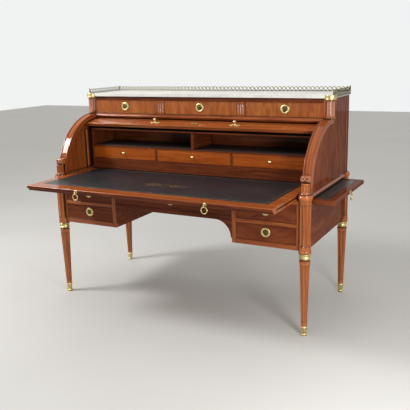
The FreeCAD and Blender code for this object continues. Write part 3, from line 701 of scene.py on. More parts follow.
# Solid mahogany of legs, posts, columns and jambs: warmer and lighter, deep painted shade in the flutes
TURNED = timber(
    "turned_mahogany", "#944b24", "#b26434", "#c97e46", STRAIGHT, 0.4, 0.8, hollow=FLUTED
)
# Painted sheen: pinkish tan in the top columns' and blocks' flutes and on the volutes' fronts, for their
# highlights; no painted shade, glossy
PAINTED_SHEEN = timber("painted_sheen_fluting", "#a8705a", "#b9836b", "#c9987f", STRAIGHT, 0.4, 0.8, kept_in_shade=1.0)
# Crotch veneer on the top drawers: orange-brown, its soft flames running up the front
FLAME = timber("flame_mahogany", "#84431d", "#a05728", "#b67038", FLAMED, 0.36, 0.6)
# Veneer of the sides, side slides and right drawers: red-brown with a broad cloudy figure, made darker as painted
# shade
FIGURED = timber("figured_mahogany", "#5c2a18", "#73381f", "#8b4b2a", CLOUDED, 0.4, 0.25)
# Light mahogany of the inner drawers: honey-orange, waxed, softer gloss
HONEY = timber("waxed_mahogany", "#843b11", "#a14d18", "#b66125", QUIET, 0.42, 0.3)
# Painted shade: deep red-brown, low-gloss mahogany for the inner cabinet, the top rail and what the slide shades
SHADE_MAHOGANY = timber("shaded_mahogany", "#4f2212", "#653019", "#7a3f22", STRAIGHT, 0.42, 0.3)
# Painted shade inside the pigeonholes: mahogany painted nearly black and left dull
PIGEONHOLE_SHADE = timber("pigeonhole_shade", "#2a1f1e", "#342725", "#3f302d", QUIET, 0.6, 0.0)
# Oak of drawer boxes, backs and boards out of sight: dry brown, planed and never polished
OAK = timber("planed_oak", "#6b4a2a", "#8a6640", "#a4814f", CLOSE, 0.6, 0.0)
# Gilt mounts: pale antique gold with brown hollows
BRASS = brass("gilt_brass", "#bfa466", "#e9d7a0", "#43351c")
# The gallery, its strips and the sunk rings of the escutcheons: gilding gone, olive-brown brass
DULLED = brass("dulled_brass", "#5c5330", "#7d7146", "#2a2413")
LEATHER = black_leather()
GILT = gold_leaf()
MARBLE = white_marble()
IRON = blackened_iron()


# Fitting out

def finish_off(piece, finish, node, along=None, angle=50):
    """Smooths a wooden piece, lays its grain and fits it."""
    smooth(piece, angle)
    lay_grain(piece, along)
    return fit(piece, finish, node)


def set_out(pattern, finish, node, spots, grained=True, along=None):
    """Fits a copy of a pattern at each named spot and does away with the pattern."""
    for name, at in spots:
        one = place(twin(pattern, name), at)
        if grained:
            lay_grain(one, along)
        fit(one, finish, node)
    discard(pattern)


def at_feet(kind):
    return [(kind + "_" + name, foot) for name, foot in FEET.items()]


def dress(node, finish, ease=0.8, along=None):
    """Boards that keep the node's shape, with eased edges."""
    pieces = solids(node)
    for piece in pieces:
        round_edges(piece, ease)
    piece = joined(node + "_boards", pieces)
    return finish_off(piece, finish, node, along)


def paint_faces(piece, finish, test):
    """Gives the faces that pass the test another finish."""
    piece.data.materials.append(finish)
    pick_faces(piece, test)
    piece.active_material_index = len(piece.data.materials) - 1
    bpy.ops.object.material_slot_assign()
    bpy.ops.object.mode_set(mode="OBJECT")


# Turned and fluted work

def fluted_rows(r0, z0, r1, z1, low, high, round_end):
    """A straight taper as profile points, with rows where the flutes' round ends begin and end."""
    heights = [z0, low]
    heights += [low + round_end * t for t in (0.2, 0.5, 1.0)]
    heights += [high - round_end * t for t in (1.0, 0.5, 0.2)]
    heights += [high, z1]
    return [(r0 + (r1 - r0) * (z - z0) / (z1 - z0), z) for z in heights]


def carve_flutes(piece, depth, low, high, round_end):
    """Presses round-ended hollows into a turned shaft; depth is a share of its radius."""
    groups = {}
    for vertex in piece.data.vertices:
        z = vertex.co.z / MM
        if not low < z < high:
            continue
        turn = math.atan2(vertex.co.y, vertex.co.x) / (2 * math.pi) * FLUTES % 1
        across = (turn - 0.5) * 2 / FLUTE_SHARE
        end = max(0, 1 - min(z - low, high - z) / round_end)
        sink = 1 - across ** 2 - end ** 2
        if sink > 0.01:
            groups.setdefault(round(math.sqrt(sink), 2), []).append(vertex.index)
    for sink, chosen in groups.items():
        pick(piece, piece.data.vertices, chosen)
        share = 1 - depth * sink
        bpy.ops.transform.resize(value=(share, share, 1), center_override=(0, 0, 0))
    bpy.ops.object.mode_set(mode="OBJECT")


def make_legs():
    # Flutes: their lowest and highest points, and the length of their round ends
    shaft = (70, 390, 4.5)
    post = (484, 708, 7)
    in_shoe = 40
    profile = [(0, in_shoe), (SHAFT_FOOT_R - 0.4, in_shoe)]
    profile += fluted_rows(SHAFT_FOOT_R, SHOE_TOP, SHAFT_TOP_R, SHAFT_TOP_Z, *shaft)
    profile += bulge(SHAFT_TOP_R, 402, SHAFT_TOP_R, 411, 2.2)
    profile += [(NECK_R, 414), (NECK_R, COLLAR_Z[0] + 4), (NECK_R, COLLAR_Z[1])]
    profile += bulge(31.5, COLLAR_Z[1], 31.5, POST_FOOT_Z - 2, 2.0)
    profile += fluted_rows(POST_R, POST_FOOT_Z, POST_R, RING_Z[0], *post) + [(0, RING_Z[0])]
    leg = turned("leg", profile, FLUTES * STEPS_PER_FLUTE)
    carve_flutes(leg, 0.19, *shaft)
    carve_flutes(leg, 0.17, *post)
    smooth(leg, 40)
    set_out(leg, TURNED, "legs", at_feet("leg"))


def make_leg_brasses():
    """A shoe at each foot and a moulded collar at each neck."""
    shoe = [(0, 0), (12.5, 0)] + bulge(13, 0.5, 13, 11.5, 3.4)
    shoe += [(13.4, 13), (14.6, 20), (16.8, 42)] + bulge(17, 43, 17, 50.5, 2.2)
    shoe += [(16.6, SHOE_TOP), (14.5, SHOE_TOP), (14.5, 46), (0, 46)]
    low, high = COLLAR_Z
    collar = [(24, low), (29.5, low)] + bulge(29.4, low + 0.6, 29.4, low + 7, 2.9)
    collar += [(28.6, low + 8.5)] + bulge(28.6, low + 10, 28.6, high - 9, -1.2)
    collar += bulge(29.4, high - 8, 29.4, high - 0.6, 3.2) + [(29.4, high), (24, high), (24, low)]
    for kind, profile, steps in (("shoe", shoe, 48), ("collar", collar, 64)):
        pattern = turned(kind, profile, steps)
        smooth(pattern, 40)
        set_out(pattern, BRASS, "leg_brasses", at_feet(kind), False)


def make_post_rings():
    low, high = RING_Z
    profile = [(0, low), (33, low), (33, low + 3)] + bulge(33.5, low + 4, 33.5, high - 5, 4.5, 10)
    profile += [(33, high - 4), (32.5, high), (0, high)]
    ring = turned("post_ring", profile, 64)
    smooth(ring, 40)
    set_out(ring, TURNED, "post_rings", at_feet("post_ring"), along=2)


def make_short_posts():
    low = RING_Z[1]
    flutes = (low + 15, SHORT_POST_TOP_Z - 5, 5)
    profile = [(0, low), (25.5, low)] + bulge(25.5, low + 0.5, 24, low + 8, 1.6) + [(23, low + 9)]
    profile += fluted_rows(SHORT_POST_R, low + 11, SHORT_POST_R, SHORT_POST_TOP_Z, *flutes)
    profile += [(20, SHORT_POST_TOP_Z + 2), (0, SHORT_POST_TOP_Z + 2)]
    post = turned("short_post", profile, FLUTES * STEPS_PER_FLUTE)
    carve_flutes(post, 0.18, *flutes)
    smooth(post, 40)
    volutes = make_volutes()
    x, y, z = VOLUTES
    for name, side in SIDES:
        one = place(twin(post, "short_post_" + name), (side * SHORT_POST[0], SHORT_POST[1], 0))
        scroll = place(twin(volutes, "volutes_" + name), (side * x, y, z))
        for piece, finish in ((one, TURNED), (scroll, None)):
            lay_grain(piece, 2)
            fit(piece, finish, "short_posts")
    discard(post)
    discard(volutes)


def make_volutes():
    """A scrolled block with two round volutes side by side: rims, sunk rings and buttons, the fronts of rims and
    buttons in painted highlight.
    """
    scroll = block("scroll", (-22, -1, -20), (22, 36, 14))
    round_edges(scroll, 5, 4)
    rim = [(5.8, -2)] + bulge(11.4, -2, 11.4, 2.6, 0.3)
    rim += [(10.4, 4.6), (8.4, 4.6), (6.8, 1.6), (5.8, -2)]
    button = [(0, -2), (3.4, -2)] + bulge(3.3, 0.4, 2.4, 3.4, 0.5) + [(0, 4)]
    parts = [scroll]
    for x in (-11, 11):
        parts.append(place(turned("rim", rim, 40, True), (x, 0, 0)))
        parts.append(place(turned("button", button, 24, True), (x, 0, 0)))
    volutes = joined("volutes", parts)
    smooth(volutes, 40)
    volutes.data.materials.append(TURNED)
    paint_faces(volutes, PAINTED_SHEEN, lambda centre, normal: centre.y < -1.2)
    return volutes


# Curved end stiles, side rails, cornice

def make_end_stiles():
    x0, x1 = STILE_X
    inner, face, outer = STILE_R
    in0, in1 = x0 + STILE_FILLET, x1 - STILE_FILLET
    section = [(x0, inner), (x1, inner), (x1, outer), (in1, outer), (in1, face)]
    section += [(in0, face), (in0, outer), (x0, outer)]
    right = swept("end_stile_right", section, *STILE_ANGLES, 72)
    round_edges(right, 3, 4)
    bpy.ops.object.mode_set(mode="EDIT")
    face_out()
    for stile in both_sides(right):
        smooth(stile)
        lay_grain_round(stile)
        fit(stile, MAHOGANY, "end_stiles")


def make_side_rails():
    lo, hi = mm_box("side_rails")
    thick = 32
    x_in = hi.x - thick
    nose = bulge(0, lo.z + 4, 0, lo.z + 20, 4)
    outline = [(x_in, lo.z), (hi.x - 6, lo.z)]
    outline += [(hi.x - 4 + out, z) for out, z in nose]
    outline += [(hi.x - 6, lo.z + 22), (hi.x - 5, lo.z + 25), (hi.x - 4, hi.z), (x_in, hi.z)]
    right = moulding("side_rail_right", [(x, lo.y, z) for x, z in outline], (0, hi.y - lo.y, 0))
    for rail in both_sides(right):
        finish_off(rail, MAHOGANY, "side_rails", 1, 40)


def make_cornice():
    lo, hi = mm_box("cornice")
    outline = [(hi.y, lo.z), (lo.y + 12, lo.z), (lo.y + 11, lo.z + 3.5), (lo.y + 6, lo.z + 4)]
    outline += [(lo.y + 5 - out, z) for out, z in bulge(0, lo.z + 5, 0, lo.z + 20, 5, 10)]
    outline += [(lo.y + 7, lo.z + 21), (lo.y + 8, lo.z + 23.5), (lo.y + 8, hi.z), (hi.y, hi.z)]
    piece = moulding("cornice_moulding", [(lo.x, y, z) for y, z in outline], (hi.x - lo.x, 0, 0))
    finish_off(piece, MAHOGANY, "cornice", angle=40)


def make_side_beads():
    """An upright bead near the back edge of each upper side."""
    lo, hi = mm_box("upper_sides")
    proud, wide, inset, below_top = 2, 6, 46, 110
    near = (hi.x - proud, hi.y - inset - wide, lo.z + 1)
    far = (hi.x + proud, hi.y - inset, hi.z - below_top)
    right = block("side_bead_right", near, far)
    round_edges(right, 1.9, 4)
    for bead in both_sides(right):
        finish_off(bead, MAHOGANY, "upper_sides")


def make_back_frames():
    """Flat oak rails and stiles over the back boards, which leave sunk panels between them."""
    for node in ("upper_back", "lower_back"):
        for number, board in enumerate(solids(node)):
            lo, hi = box_of(board)
            discard(board)
            bottom, top = lo.z + FRAME_W, hi.z - FRAME_W
            strips = [(lo.x, lo.z, hi.x, bottom), (lo.x, top, hi.x, hi.z)]
            for share in (-1, -1 / 3, 1 / 3, 1) if hi.x - lo.x > WIDE_BACK else (-1, 1):
                x = (lo.x + hi.x) / 2 + (hi.x - lo.x - FRAME_W) / 2 * share
                strips.append((x - FRAME_W / 2, bottom, x + FRAME_W / 2, top))
            parts = [
                block("strip", (x0, hi.y - 1, z0), (x1, hi.y + FRAME_PROUD, z1))
                for x0, z0, x1, z1 in strips
            ]
            piece = joined("%s_frame_%d" % (node, number), parts)
            round_edges(piece, 1.0)
            finish_off(piece, OAK, node)


# Top section: columns, blocks, marble, gallery

def make_columns():
    low, high = COLUMN_Z
    flutes = (low + 14, high - 14, 5.5)
    shaft_r = COLUMN_R - 1.5
    sunk_r = COLUMN_R - 2.4
    profile = [(0, low), (COLUMN_R + 1, low)]
    profile += bulge(COLUMN_R + 0.6, low + 1, COLUMN_R - 1, low + 8, 1.6)
    profile += fluted_rows(shaft_r, low + 9.5, shaft_r, high, *flutes) + [(0, high)]
    column = turned("column", profile, FLUTES * STEPS_PER_FLUTE)
    carve_flutes(column, 0.18, *flutes)
    smooth(column, 40)
    column.data.materials.append(TURNED)

    def in_flute(centre, normal):
        return flutes[0] < centre.z < flutes[1] and math.hypot(centre.x, centre.y) < sunk_r

    # The flutes take a painted sheen for their highlights
    paint_faces(column, PAINTED_SHEEN, in_flute)
    spots = [("corner_column_" + name, (side * COLUMN[0], COLUMN[1], 0)) for name, side in SIDES]
    set_out(column, None, "fluted_columns", spots)


def make_blocks():
    """The blocks between the top drawers, each with three round-ended hollows."""
    low = COLUMN_Z[0]
    half, thick = 25, 12
    hollow_r, inset, spacing = 5.8, 17, 15
    run = BLOCK_TOP_Z - low - 2 * inset
    quarter = [math.pi / 2 * i / 6 for i in range(7)]
    end = [(hollow_r * math.sin(a), -hollow_r * math.cos(a)) for a in quarter]
    rod = end + [(r, run - h) for r, h in end[::-1]]

    def in_hollow(centre, normal):
        return abs(centre.x) < half - 3 and BLOCK_Y + 0.9 < centre.y < BLOCK_Y + thick / 2

    for name, side in SIDES:
        far = (half, BLOCK_Y + thick, BLOCK_TOP_Z)
        piece = block("fluted_block_" + name, (-half, BLOCK_Y, low), far)
        round_edges(piece, 0.8)
        for x in (-spacing, 0, spacing):
            cut_away(piece, place(turned("hollow", rod, 32), (x, BLOCK_Y - 1.4, low + inset)))
        piece.data.materials.append(MAHOGANY)
        # The hollows take a painted sheen for their highlights
        paint_faces(piece, PAINTED_SHEEN, in_hollow)
        place(piece, (side * BLOCK_X, 0, 0))
        finish_off(piece, None, "fluted_columns", angle=40)


def make_marble():
    slab = joined("marble_slab", solids("marble_top"))
    round_edges(slab, 0.9, 3)
    smooth(slab)
    fit(slab, MARBLE, "marble_top")


def gallery_strip(name, length):
    """Two wires that weave over and under each other, on a rail, along +X from the origin."""
    loops = round(length / GALLERY_LOOP)
    loop = length / loops
    swing = GALLERY_H / 2 - 3
    steps = 16
    waves = []
    for side in (1, -1):
        points = []
        for i in range(steps + 1):
            a = 2 * math.pi * i / steps
            high = GALLERY_H / 2 + 1.4 + side * swing * math.sin(a)
            points.append((loop * i / steps, side * 0.7 * math.cos(a), high))
        wave = wire("wave", points, GALLERY_WIRE)
        apply_modifier(
            wave, "ARRAY", count=loops, use_relative_offset=False, use_constant_offset=True,
            constant_offset_displace=(loop * MM, 0, 0), use_merge_vertices=True,
            merge_threshold=0.05 * MM,
        )
        waves.append(wave)
    rail = block("rail", (0, -1.6, 0), (length, 1.6, 3.2))
    round_edges(rail, 0.8)
    return joined(name, waves + [rail])


def make_gallery():
    post_r = 4.0
    front_y = COLUMN[1]
    back_length = 2 * (GALLERY_X - post_r)
    side_length = GALLERY_BACK_Y - front_y - 2 * post_r
    back = gallery_strip("gallery_back", back_length)
    strips = [place(back, (-back_length / 2, GALLERY_BACK_Y, MARBLE_TOP))]
    side = gallery_strip("gallery_side", side_length)
    for name, way in SIDES:
        start = (way * GALLERY_X, front_y + post_r, MARBLE_TOP)
        strips.append(place(twin(side, "gallery_" + name), start, (0, 0, 90)))
    discard(side)
    profile = [(0, 0), (4.6, 0), (4.6, 2), (3.4, 3.5), (3.2, 22)] + bulge(3.4, 23, 2.2, 26, 0.8)
    profile += bulge(2, 26.5, 0.6, 31.5, 1.8) + [(0, 32.4)]
    post = turned("gallery_post", profile, 24)
    corners = itertools.product((-GALLERY_X, GALLERY_X), (front_y, GALLERY_BACK_Y))
    for i, (x, y) in enumerate(corners):
        strips.append(place(twin(post, "gallery_post_%d" % i), (x, y, MARBLE_TOP)))
    discard(post)
    for strip in strips:
        smooth(strip, 40)
        fit(strip, DULLED, "gallery")


def make_corner_bands():
    """Gilt bands round the marble's front corners, and dull strips along its sides."""
    low = COLUMN_Z[1] - 7
    r = 29.2
    top = MARBLE_TOP
    strip_y = (56, 356)
    # Each band starts this far behind its corner's outer side and goes round the front
    behind, arc = 48, 210
    band = [(r, low), (r + 0.8, low)] + bulge(r + 0.6, low + 0.5, r + 0.6, low + 7, 1.2)
    band += [(r + 0.8, low + 8), (r + 0.8, top - 5)] + bulge(r + 0.6, top - 5, r + 0.6, top, 1.2)
    band += [(r, top)]
    for name, side in SIDES:
        piece = fill_outline("corner_band_" + name, [(radius, 0, z) for radius, z in band])
        bpy.ops.mesh.spin(steps=40, angle=math.radians(arc), center=(0, 0, 0), axis=(0, 0, 1))
        face_out()
        turn = behind if side > 0 else 180 + arc - behind
        place(piece, (side * COLUMN[0], COLUMN[1], 0), (0, 0, turn))
        smooth(piece, 40)
        fit(piece, BRASS, "gallery")
        x = side * MARBLE_EDGE_X
        near, far = (x - 0.6, strip_y[0], top - 15), (x + 0.9, strip_y[1], top - 2)
        strip = block("side_strip_" + name, near, far)
        round_edges(strip, 0.5)
        smooth(strip)
        fit(strip, DULLED, "gallery")


# Cylinder

def flat_section(half, inner, outer):
    """The section of a curved board as wide as the desk, between two radii."""
    return [(-half, inner), (half, inner), (half, outer), (-half, outer)]


def make_cylinder():
    """The lid, with a broad moulding along its lower edge and a narrow one above."""
    section = flat_section(SHELL_HALF, SHELL_R - SHELL_T, SHELL_R)
    shell = swept("shell", section, OPEN_EDGE, OPEN_EDGE + SHELL_SPAN, 90)
    round_edges(shell, 1.5)
    parts = [shell]
    for start, end, proud in ((0.0, 2.6, 3.5), (14.0, 15.2, 2.0)):
        section = flat_section(STILE_X[0] - 3, SHELL_R - 1, SHELL_R + proud)
        strip = swept("strip", section, OPEN_EDGE + start, OPEN_EDGE + end, 6)
        round_edges(strip, proud * 0.45, 3)
        parts.append(strip)
    finish_off(joined("cylinder_lid", parts), MAHOGANY, "cylinder_shell", 0)
    dress("cylinder_arms", IRON)


def leaf():
    """A pointed leaf with a round back, lying along +X in front of the origin."""
    long, half_wide, flatness = 34, 5.5, 0.55
    shares = (0.12, 0.25, 0.4, 0.55, 0.7, 0.85, 0.94)
    profile = [(half_wide * math.sin(math.pi * t) ** 0.8, long * t ** 0.9) for t in shares]
    piece = turned("leaf", [(0, 0)] + profile + [(0, long)], 16)
    place(piece, turn=(0, 90, 0))
    return place(piece, size=(1, flatness, 1))


def leaf_handle():
    """A foliate plate of six leaves with a turned knob standing on it."""
    pattern = leaf()
    parts = []
    for turn in (-26, 0, 26, 154, 180, 206):
        long = 1.06 if turn % 180 == 0 else 0.86
        parts.append(place(twin(pattern, "leaf_%d" % turn), size=(long, 1, 1)))
        place(parts[-1], turn=(0, turn, 0))
    discard(pattern)
    knob = [(0, 0), (9.5, 0)] + bulge(9.5, 0.5, 9, 4.5, 1.0) + [(5.2, 6), (3.9, 9), (3.9, 13)]
    knob += bulge(4.2, 13.5, 4.2, 16, 1.6) + bulge(5, 17, 4.5, 27.5, 5, 10) + [(3, 29), (0, 30)]
    parts.append(turned("knob", knob, 40, True))
    return joined("leaf_handle", parts)


def on_shell(piece, x):
    """Puts a piece drawn at the origin, facing the sitter, on the lid at the handles' height."""
    place(piece, (x, -SHELL_R, 0))
    return place(piece, AXIS, (-HANDLE_ANGLE, 0, 0))


def make_handles():
    pattern = leaf_handle()
    smooth(pattern, 40)
    for name, side in SIDES:
        handle = on_shell(twin(pattern, "lid_handle_" + name), side * HANDLE_X)
        fit(handle, BRASS, "cylinder_handles")
    discard(pattern)
    plate = block("lid_lock_plate", (-23, -2.5, -10), (23, 2, 10))
    sink_front(plate, 2.2, 0.7)
    round_edges(plate, 0.5)
    cut_keyhole(plate)
    smooth(plate, 40)
    fit(on_shell(plate, 0), BRASS, "cylinder_handles")


def cut_keyhole(piece):
    """Cuts a round hole over a tapered slot through a plate at the origin that faces the sitter."""
    hole_r, hole_z, foot_z, reach = 3.6, 3, -8, 12
    hole = turned("hole", [(0, -reach), (hole_r, -reach), (hole_r, reach), (0, reach)], 24, True)
    place(hole, (0, 0, hole_z))
    taper = [(-1.6, hole_z), (1.6, hole_z), (2.3, foot_z), (-2.3, foot_z)]
    slot = moulding("slot", [(x, -reach, z) for x, z in taper], (0, 2 * reach, 0))
    cut_away(piece, hole, slot)


# Writing slide, side slides and their pulls

def make_slide(node):
    """A slide's panel: rounded top edges, and under the writing slide's nose a cove in painted shade."""
    panel = joined(node + "_panel", solids(node))
    lo, hi = mm_box(node)
    mesh = panel.data
    front = node == "writing_slide"

    def outer(p, axis):
        return min(abs(p[axis] - lo[axis]), abs(p[axis] - hi[axis])) < 0.1

    def runs_along(edge, level, sides):
        a, b = (mesh.vertices[i].co / MM for i in edge.vertices)
        if max(abs(a.z - level), abs(b.z - level)) >= 0.1:
            return False
        return any(outer(a, k) and abs(a[k] - b[k]) < 0.1 for k in sides)

    # Height of the edges, axes they bound, width of the bevel and how far it bows out
    nosing = [(hi.z, (0, 1), NOSE_R, 0.5)]
    if front:
        nosing.append((lo.z, (1,), (hi.z - lo.z) * COVE_SHARE, 0.12))
    for level, sides, width, bow in nosing:
        activate(panel)
        pick(panel, mesh.edges, [e.index for e in mesh.edges if runs_along(e, level, sides)])
        bpy.ops.mesh.bevel(offset=width * MM, segments=6, profile=bow, affect="EDGES")
        bpy.ops.object.mode_set(mode="OBJECT")
    panel.data.materials.append(MAHOGANY if front else FIGURED)
    finish_off(panel, None, node)
    if front:
        # Painted shade on the cove and the front face below the nose
        below = hi.z - NOSE_R - 0.5
        behind = lo.y + SHADED_EDGE
        paint_faces(panel, SHADE_MAHOGANY, lambda centre, normal: centre.y < behind and centre.z < below)


def make_leather(node):
    """A leather panel let into a slide, with a tooled line near its edge."""
    lo, hi = mm_box(node)
    sunk, proud = 0.2, 0.12
    hide = joined(node + "_hide", solids(node))
    round_edges(hide, 0.4)
    smooth(hide)
    fit(hide, LEATHER, node)
    lines = []
    for inset, wide in TOOLED_LINES:
        x0, x1 = lo.x + inset, hi.x - inset
        y0, y1 = lo.y + inset, hi.y - inset
        for corner, far in (
            ((x0, y0), (x1, y0 + wide)),
            ((x0, y1 - wide), (x1, y1)),
            ((x0, y0 + wide), (x0 + wide, y1 - wide)),
            ((x1 - wide, y0 + wide), (x1, y1 - wide)),
        ):
            lines.append(block("line", (*corner, hi.z - sunk), (*far, hi.z + proud)))
    border = joined(node + "_tooled_lines", lines)
    round_edges(border, 0.08, 1)
    fit(border, GILT, node)


def make_ornament():
    """A tooled laurel spray on the leather: broad leaves to both sides of an oval."""
    top = mm_box("writing_leather")[1].z
    pattern = place(leaf(), size=(1.75, 2.6, 0.03))
    parts = []
    for side in (0, 180):
        for x, turn in ((26, -34), (26, 34), (56, -30), (56, 30), (84, 0)):
            one = place(twin(pattern, "spray_leaf"), (x, 0, 0), (0, 0, turn))
            parts.append(place(one, turn=(0, 0, side)))
    discard(pattern)
    oval = turned("oval", [(22, -0.15), (27, -0.15), (27, 0.15), (22, 0.15), (22, -0.15)], 48)
    parts.append(place(oval, size=(1, 1.3, 1)))
    spray = place(joined("tooled_spray", parts), (0, ORNAMENT_Y, top))
    fit(spray, GILT, "writing_leather")


def pull_mount():
    """A turned plate with a ball, and two lugs that hold a ring at the origin."""
    plate = [(0, -8), (10, -8), (10, -7)] + bulge(9.6, -6.5, 8, -5.4, 0.5) + [(6, -5.6), (0, -5.6)]
    ball = [(0, -6)] + bulge(2.6, -6, 2.4, -1.2, 2.2, 8) + [(0, -0.4)]
    parts = [place(turned("pull_plate", plate, 32, True), (0, 0, 5))]
    parts.append(place(turned("ball", ball, 24, True), (0, 0, 10.5)))
    for x in (-3.8, 3.8):
        lug = turned("lug", [(0, -1), (2.4, -1), (2.6, 0), (2.4, 1), (0, 1)], 20)
        place(lug, turn=(0, 90, 0))
        parts.append(place(lug, (x, 0, 0)))
        parts.append(block("neck", (x - 0.9, 0, -2), (x + 0.9, 7, 2)))
        round_edges(parts[-1], 0.4)
    mount = joined("pull_mount", parts)
    smooth(mount, 40)
    return mount


def pull_ring():
    """A ring that hangs by its eye from the origin, thicker at its foot."""
    ring_r = RING_R * MM
    bpy.ops.object.select_all(action="DESELECT")
    bpy.ops.mesh.primitive_torus_add(
        major_radius=ring_r, minor_radius=2.3 * MM, major_segments=64, minor_segments=16
    )
    ring = place(bpy.context.active_object, turn=(90, 0, 0))
    pick(ring, ring.data.vertices, [v.index for v in ring.data.vertices if v.co.z < -0.4 * ring_r])
    bpy.ops.transform.resize(value=(1, 1.25, 1.04))
    bpy.ops.object.mode_set(mode="OBJECT")
    place(ring, (0, 0, -RING_DROP))
    eye = turned("eye", [(0, -2.4), (3.2, -2.4), (3.6, 0), (3.2, 2.4), (0, 2.4)], 24)
    place(eye, turn=(0, 90, 0))
    ring = joined("pull_ring", [ring, eye])
    smooth(ring, 60)
    return ring


def make_pulls():
    """Ring pulls: two on the writing slide's front and one on each side slide."""
    mount, ring = pull_mount(), pull_ring()
    pulls = [("front_ring_" + s, "slide_pull_mounts", "slide_ring_" + s, 0) for s, side in SIDES]
    for s, side in SIDES:
        pulls.append(("side_ring_" + s, "side_pull_mount_" + s, "side_ring_" + s, side * 90))
    for pull, mount_node, ring_node, turn in pulls:
        joint = pull + "_swing"
        for kind, pattern, node in (("_mount", mount, mount_node), ("_ring", ring, ring_node)):
            fit(place(twin(pattern, joint + kind), PIVOT[joint], (0, 0, turn)), BRASS, node)
    discard(mount)
    discard(ring)


# Inner cabinet, drawers, locks and knobs

def make_cabinet():
    """The pigeonholes' boards: painted shade, near-black and dull within, a polished deep red-brown on the divider
    and front edges; and a jamb at each end in the lighter turned mahogany, a painted highlight."""
    parts = []
    for board in solids("inner_cabinet"):
        at = middle(board)
        jamb = abs(at.x) > JAMB_FROM_X
        level = board.dimensions.x > board.dimensions.z
        round_edges(board, 5 if jamb else 0.8, 4)
        board.data.materials.append(TURNED if jamb else SHADE_MAHOGANY)
        if level and at.z > PIGEONHOLE_FROM_Z and not jamb:
            paint_faces(board, PIGEONHOLE_SHADE, lambda centre, normal: normal.y > -0.7)
        parts.append(board)
    finish_off(joined("inner_cabinet_boards", parts), None, "inner_cabinet")


def make_drawer(node):
    """A beaded, veneered front on an oak box."""
    lo, hi = mm_box(node)
    kind = next((k for k in FRONT_T if node.startswith(k)), None)
    thick = FRONT_T.get(kind, LOWER_FRONT_T)
    front = block("front", lo, (hi.x, lo.y + thick, hi.z))
    sink_front(front, BEAD, BEAD_PROUD)
    round_edges(front, 1.0, 3)
    smooth(front)
    lay_grain(front, 2 if kind == "drawer_top" else 0)
    # Painted shade of the slide: lower fronts in the darker figured veneer, the left ones in shaded mahogany
    lower = FIGURED if lo.x > 0 else SHADE_MAHOGANY
    front.data.materials.append({"drawer_top": FLAME, "drawer_inner": HONEY}.get(kind, lower))
    sides = []
    for board in solids(node):
        if middle(board).y < lo.y + thick:
            discard(board)
        else:
            sides.append(board)
    box = joined("box", sides)
    round_edges(box, 0.6)
    smooth(box)
    box.data.materials.append(OAK)
    lay_grain(box)
    fit(joined(node + "_made", [front, box]), None, node)


def make_locks():
    """Round escutcheons: a broad bright rim, a dull groove and a boss with the keyhole in it."""
    rim_r, rim_half, rim_high, groove_r = 20.6, 5.8, 3.2, 16.2
    half_turn = [math.pi * i / 10 for i in range(11)]
    rim = [(rim_r + rim_half * math.cos(a), 0.9 + rim_high * math.sin(a)) for a in half_turn]
    profile = [(0, 0), (rim_r + rim_half, 0)] + rim
    profile += [(14.6, 0.4), (13.0, 0.4), (12.6, 1.6), (9, 2.3), (0, 2.6)]
    pattern = turned("escutcheon", profile, 64, True)
    cut_keyhole(pattern)
    smooth(pattern, 35)
    pattern.data.materials.append(BRASS)
    paint_faces(pattern, DULLED, lambda centre, normal: math.hypot(centre.x, centre.z) < groove_r)
    backing = turned("backing", [(0, 0.1), (11, 0.1), (11, 0.4), (0, 0.4)], 32, True)
    backing.data.materials.append(IRON)
    pattern = joined("escutcheon", [pattern, backing])
    for node in nodes_named("lock_"):
        lo, hi = mm_box(node)
        front_y = mm_box(node.replace("lock", "drawer"))[0].y
        plate = twin(pattern, node + "_plate")
        place(plate, ((lo.x + hi.x) / 2, front_y + BEAD_PROUD, (lo.z + hi.z) / 2))
        for solid in solids(node):
            if middle(solid).y > front_y + LOCK_CASE_BEHIND:
                round_edges(solid, 0.8)
                solid.data.materials.append(IRON)
                plate = joined(plate.name, [plate, solid])
            else:
                discard(solid)
        fit(plate, None, node)
    discard(pattern)


def make_knobs():
    profile = [(0, 0), (6, 0)] + bulge(5.8, 0.2, 5, 2.2, 0.6) + [(3.2, 3.4), (2.8, 6.5)]
    profile += bulge(3.4, 8, 3.2, 17, 4.2, 10) + [(0, 17.8)]
    pattern = turned("knob", profile, 32, True)
    smooth(pattern, 40)
    for node in nodes_named("knob_"):
        lo, hi = mm_box(node)
        at = ((lo.x + hi.x) / 2, hi.y, (lo.z + hi.z) / 2)
        fit(place(twin(pattern, node + "_turned"), at), BRASS, node)
    discard(pattern)


# The desk

make_legs()
make_leg_brasses()
make_post_rings()
make_short_posts()
make_end_stiles()
make_side_rails()
make_cornice()
make_columns()
make_blocks()
make_marble()
make_gallery()
make_corner_bands()
make_cylinder()
make_handles()
dress("front_frame", MAHOGANY)
# Painted shade: the pedestal cheeks' side faces in shaded mahogany
paint_faces(dress("pedestal_cheeks", MAHOGANY), SHADE_MAHOGANY, lambda centre, normal: abs(normal.x) > 0.9)
# Painted shadow: the top rail's upper strip, under the marble's overhang
paint_faces(dress("top_frame", MAHOGANY), SHADE_MAHOGANY, lambda centre, normal: centre.z > BLOCK_TOP_Z - 8)
# Painted shade: the knee apron under the slide
dress("knee_apron", SHADE_MAHOGANY, along=0)
dress("lower_sides", FIGURED, 2.5, 1)
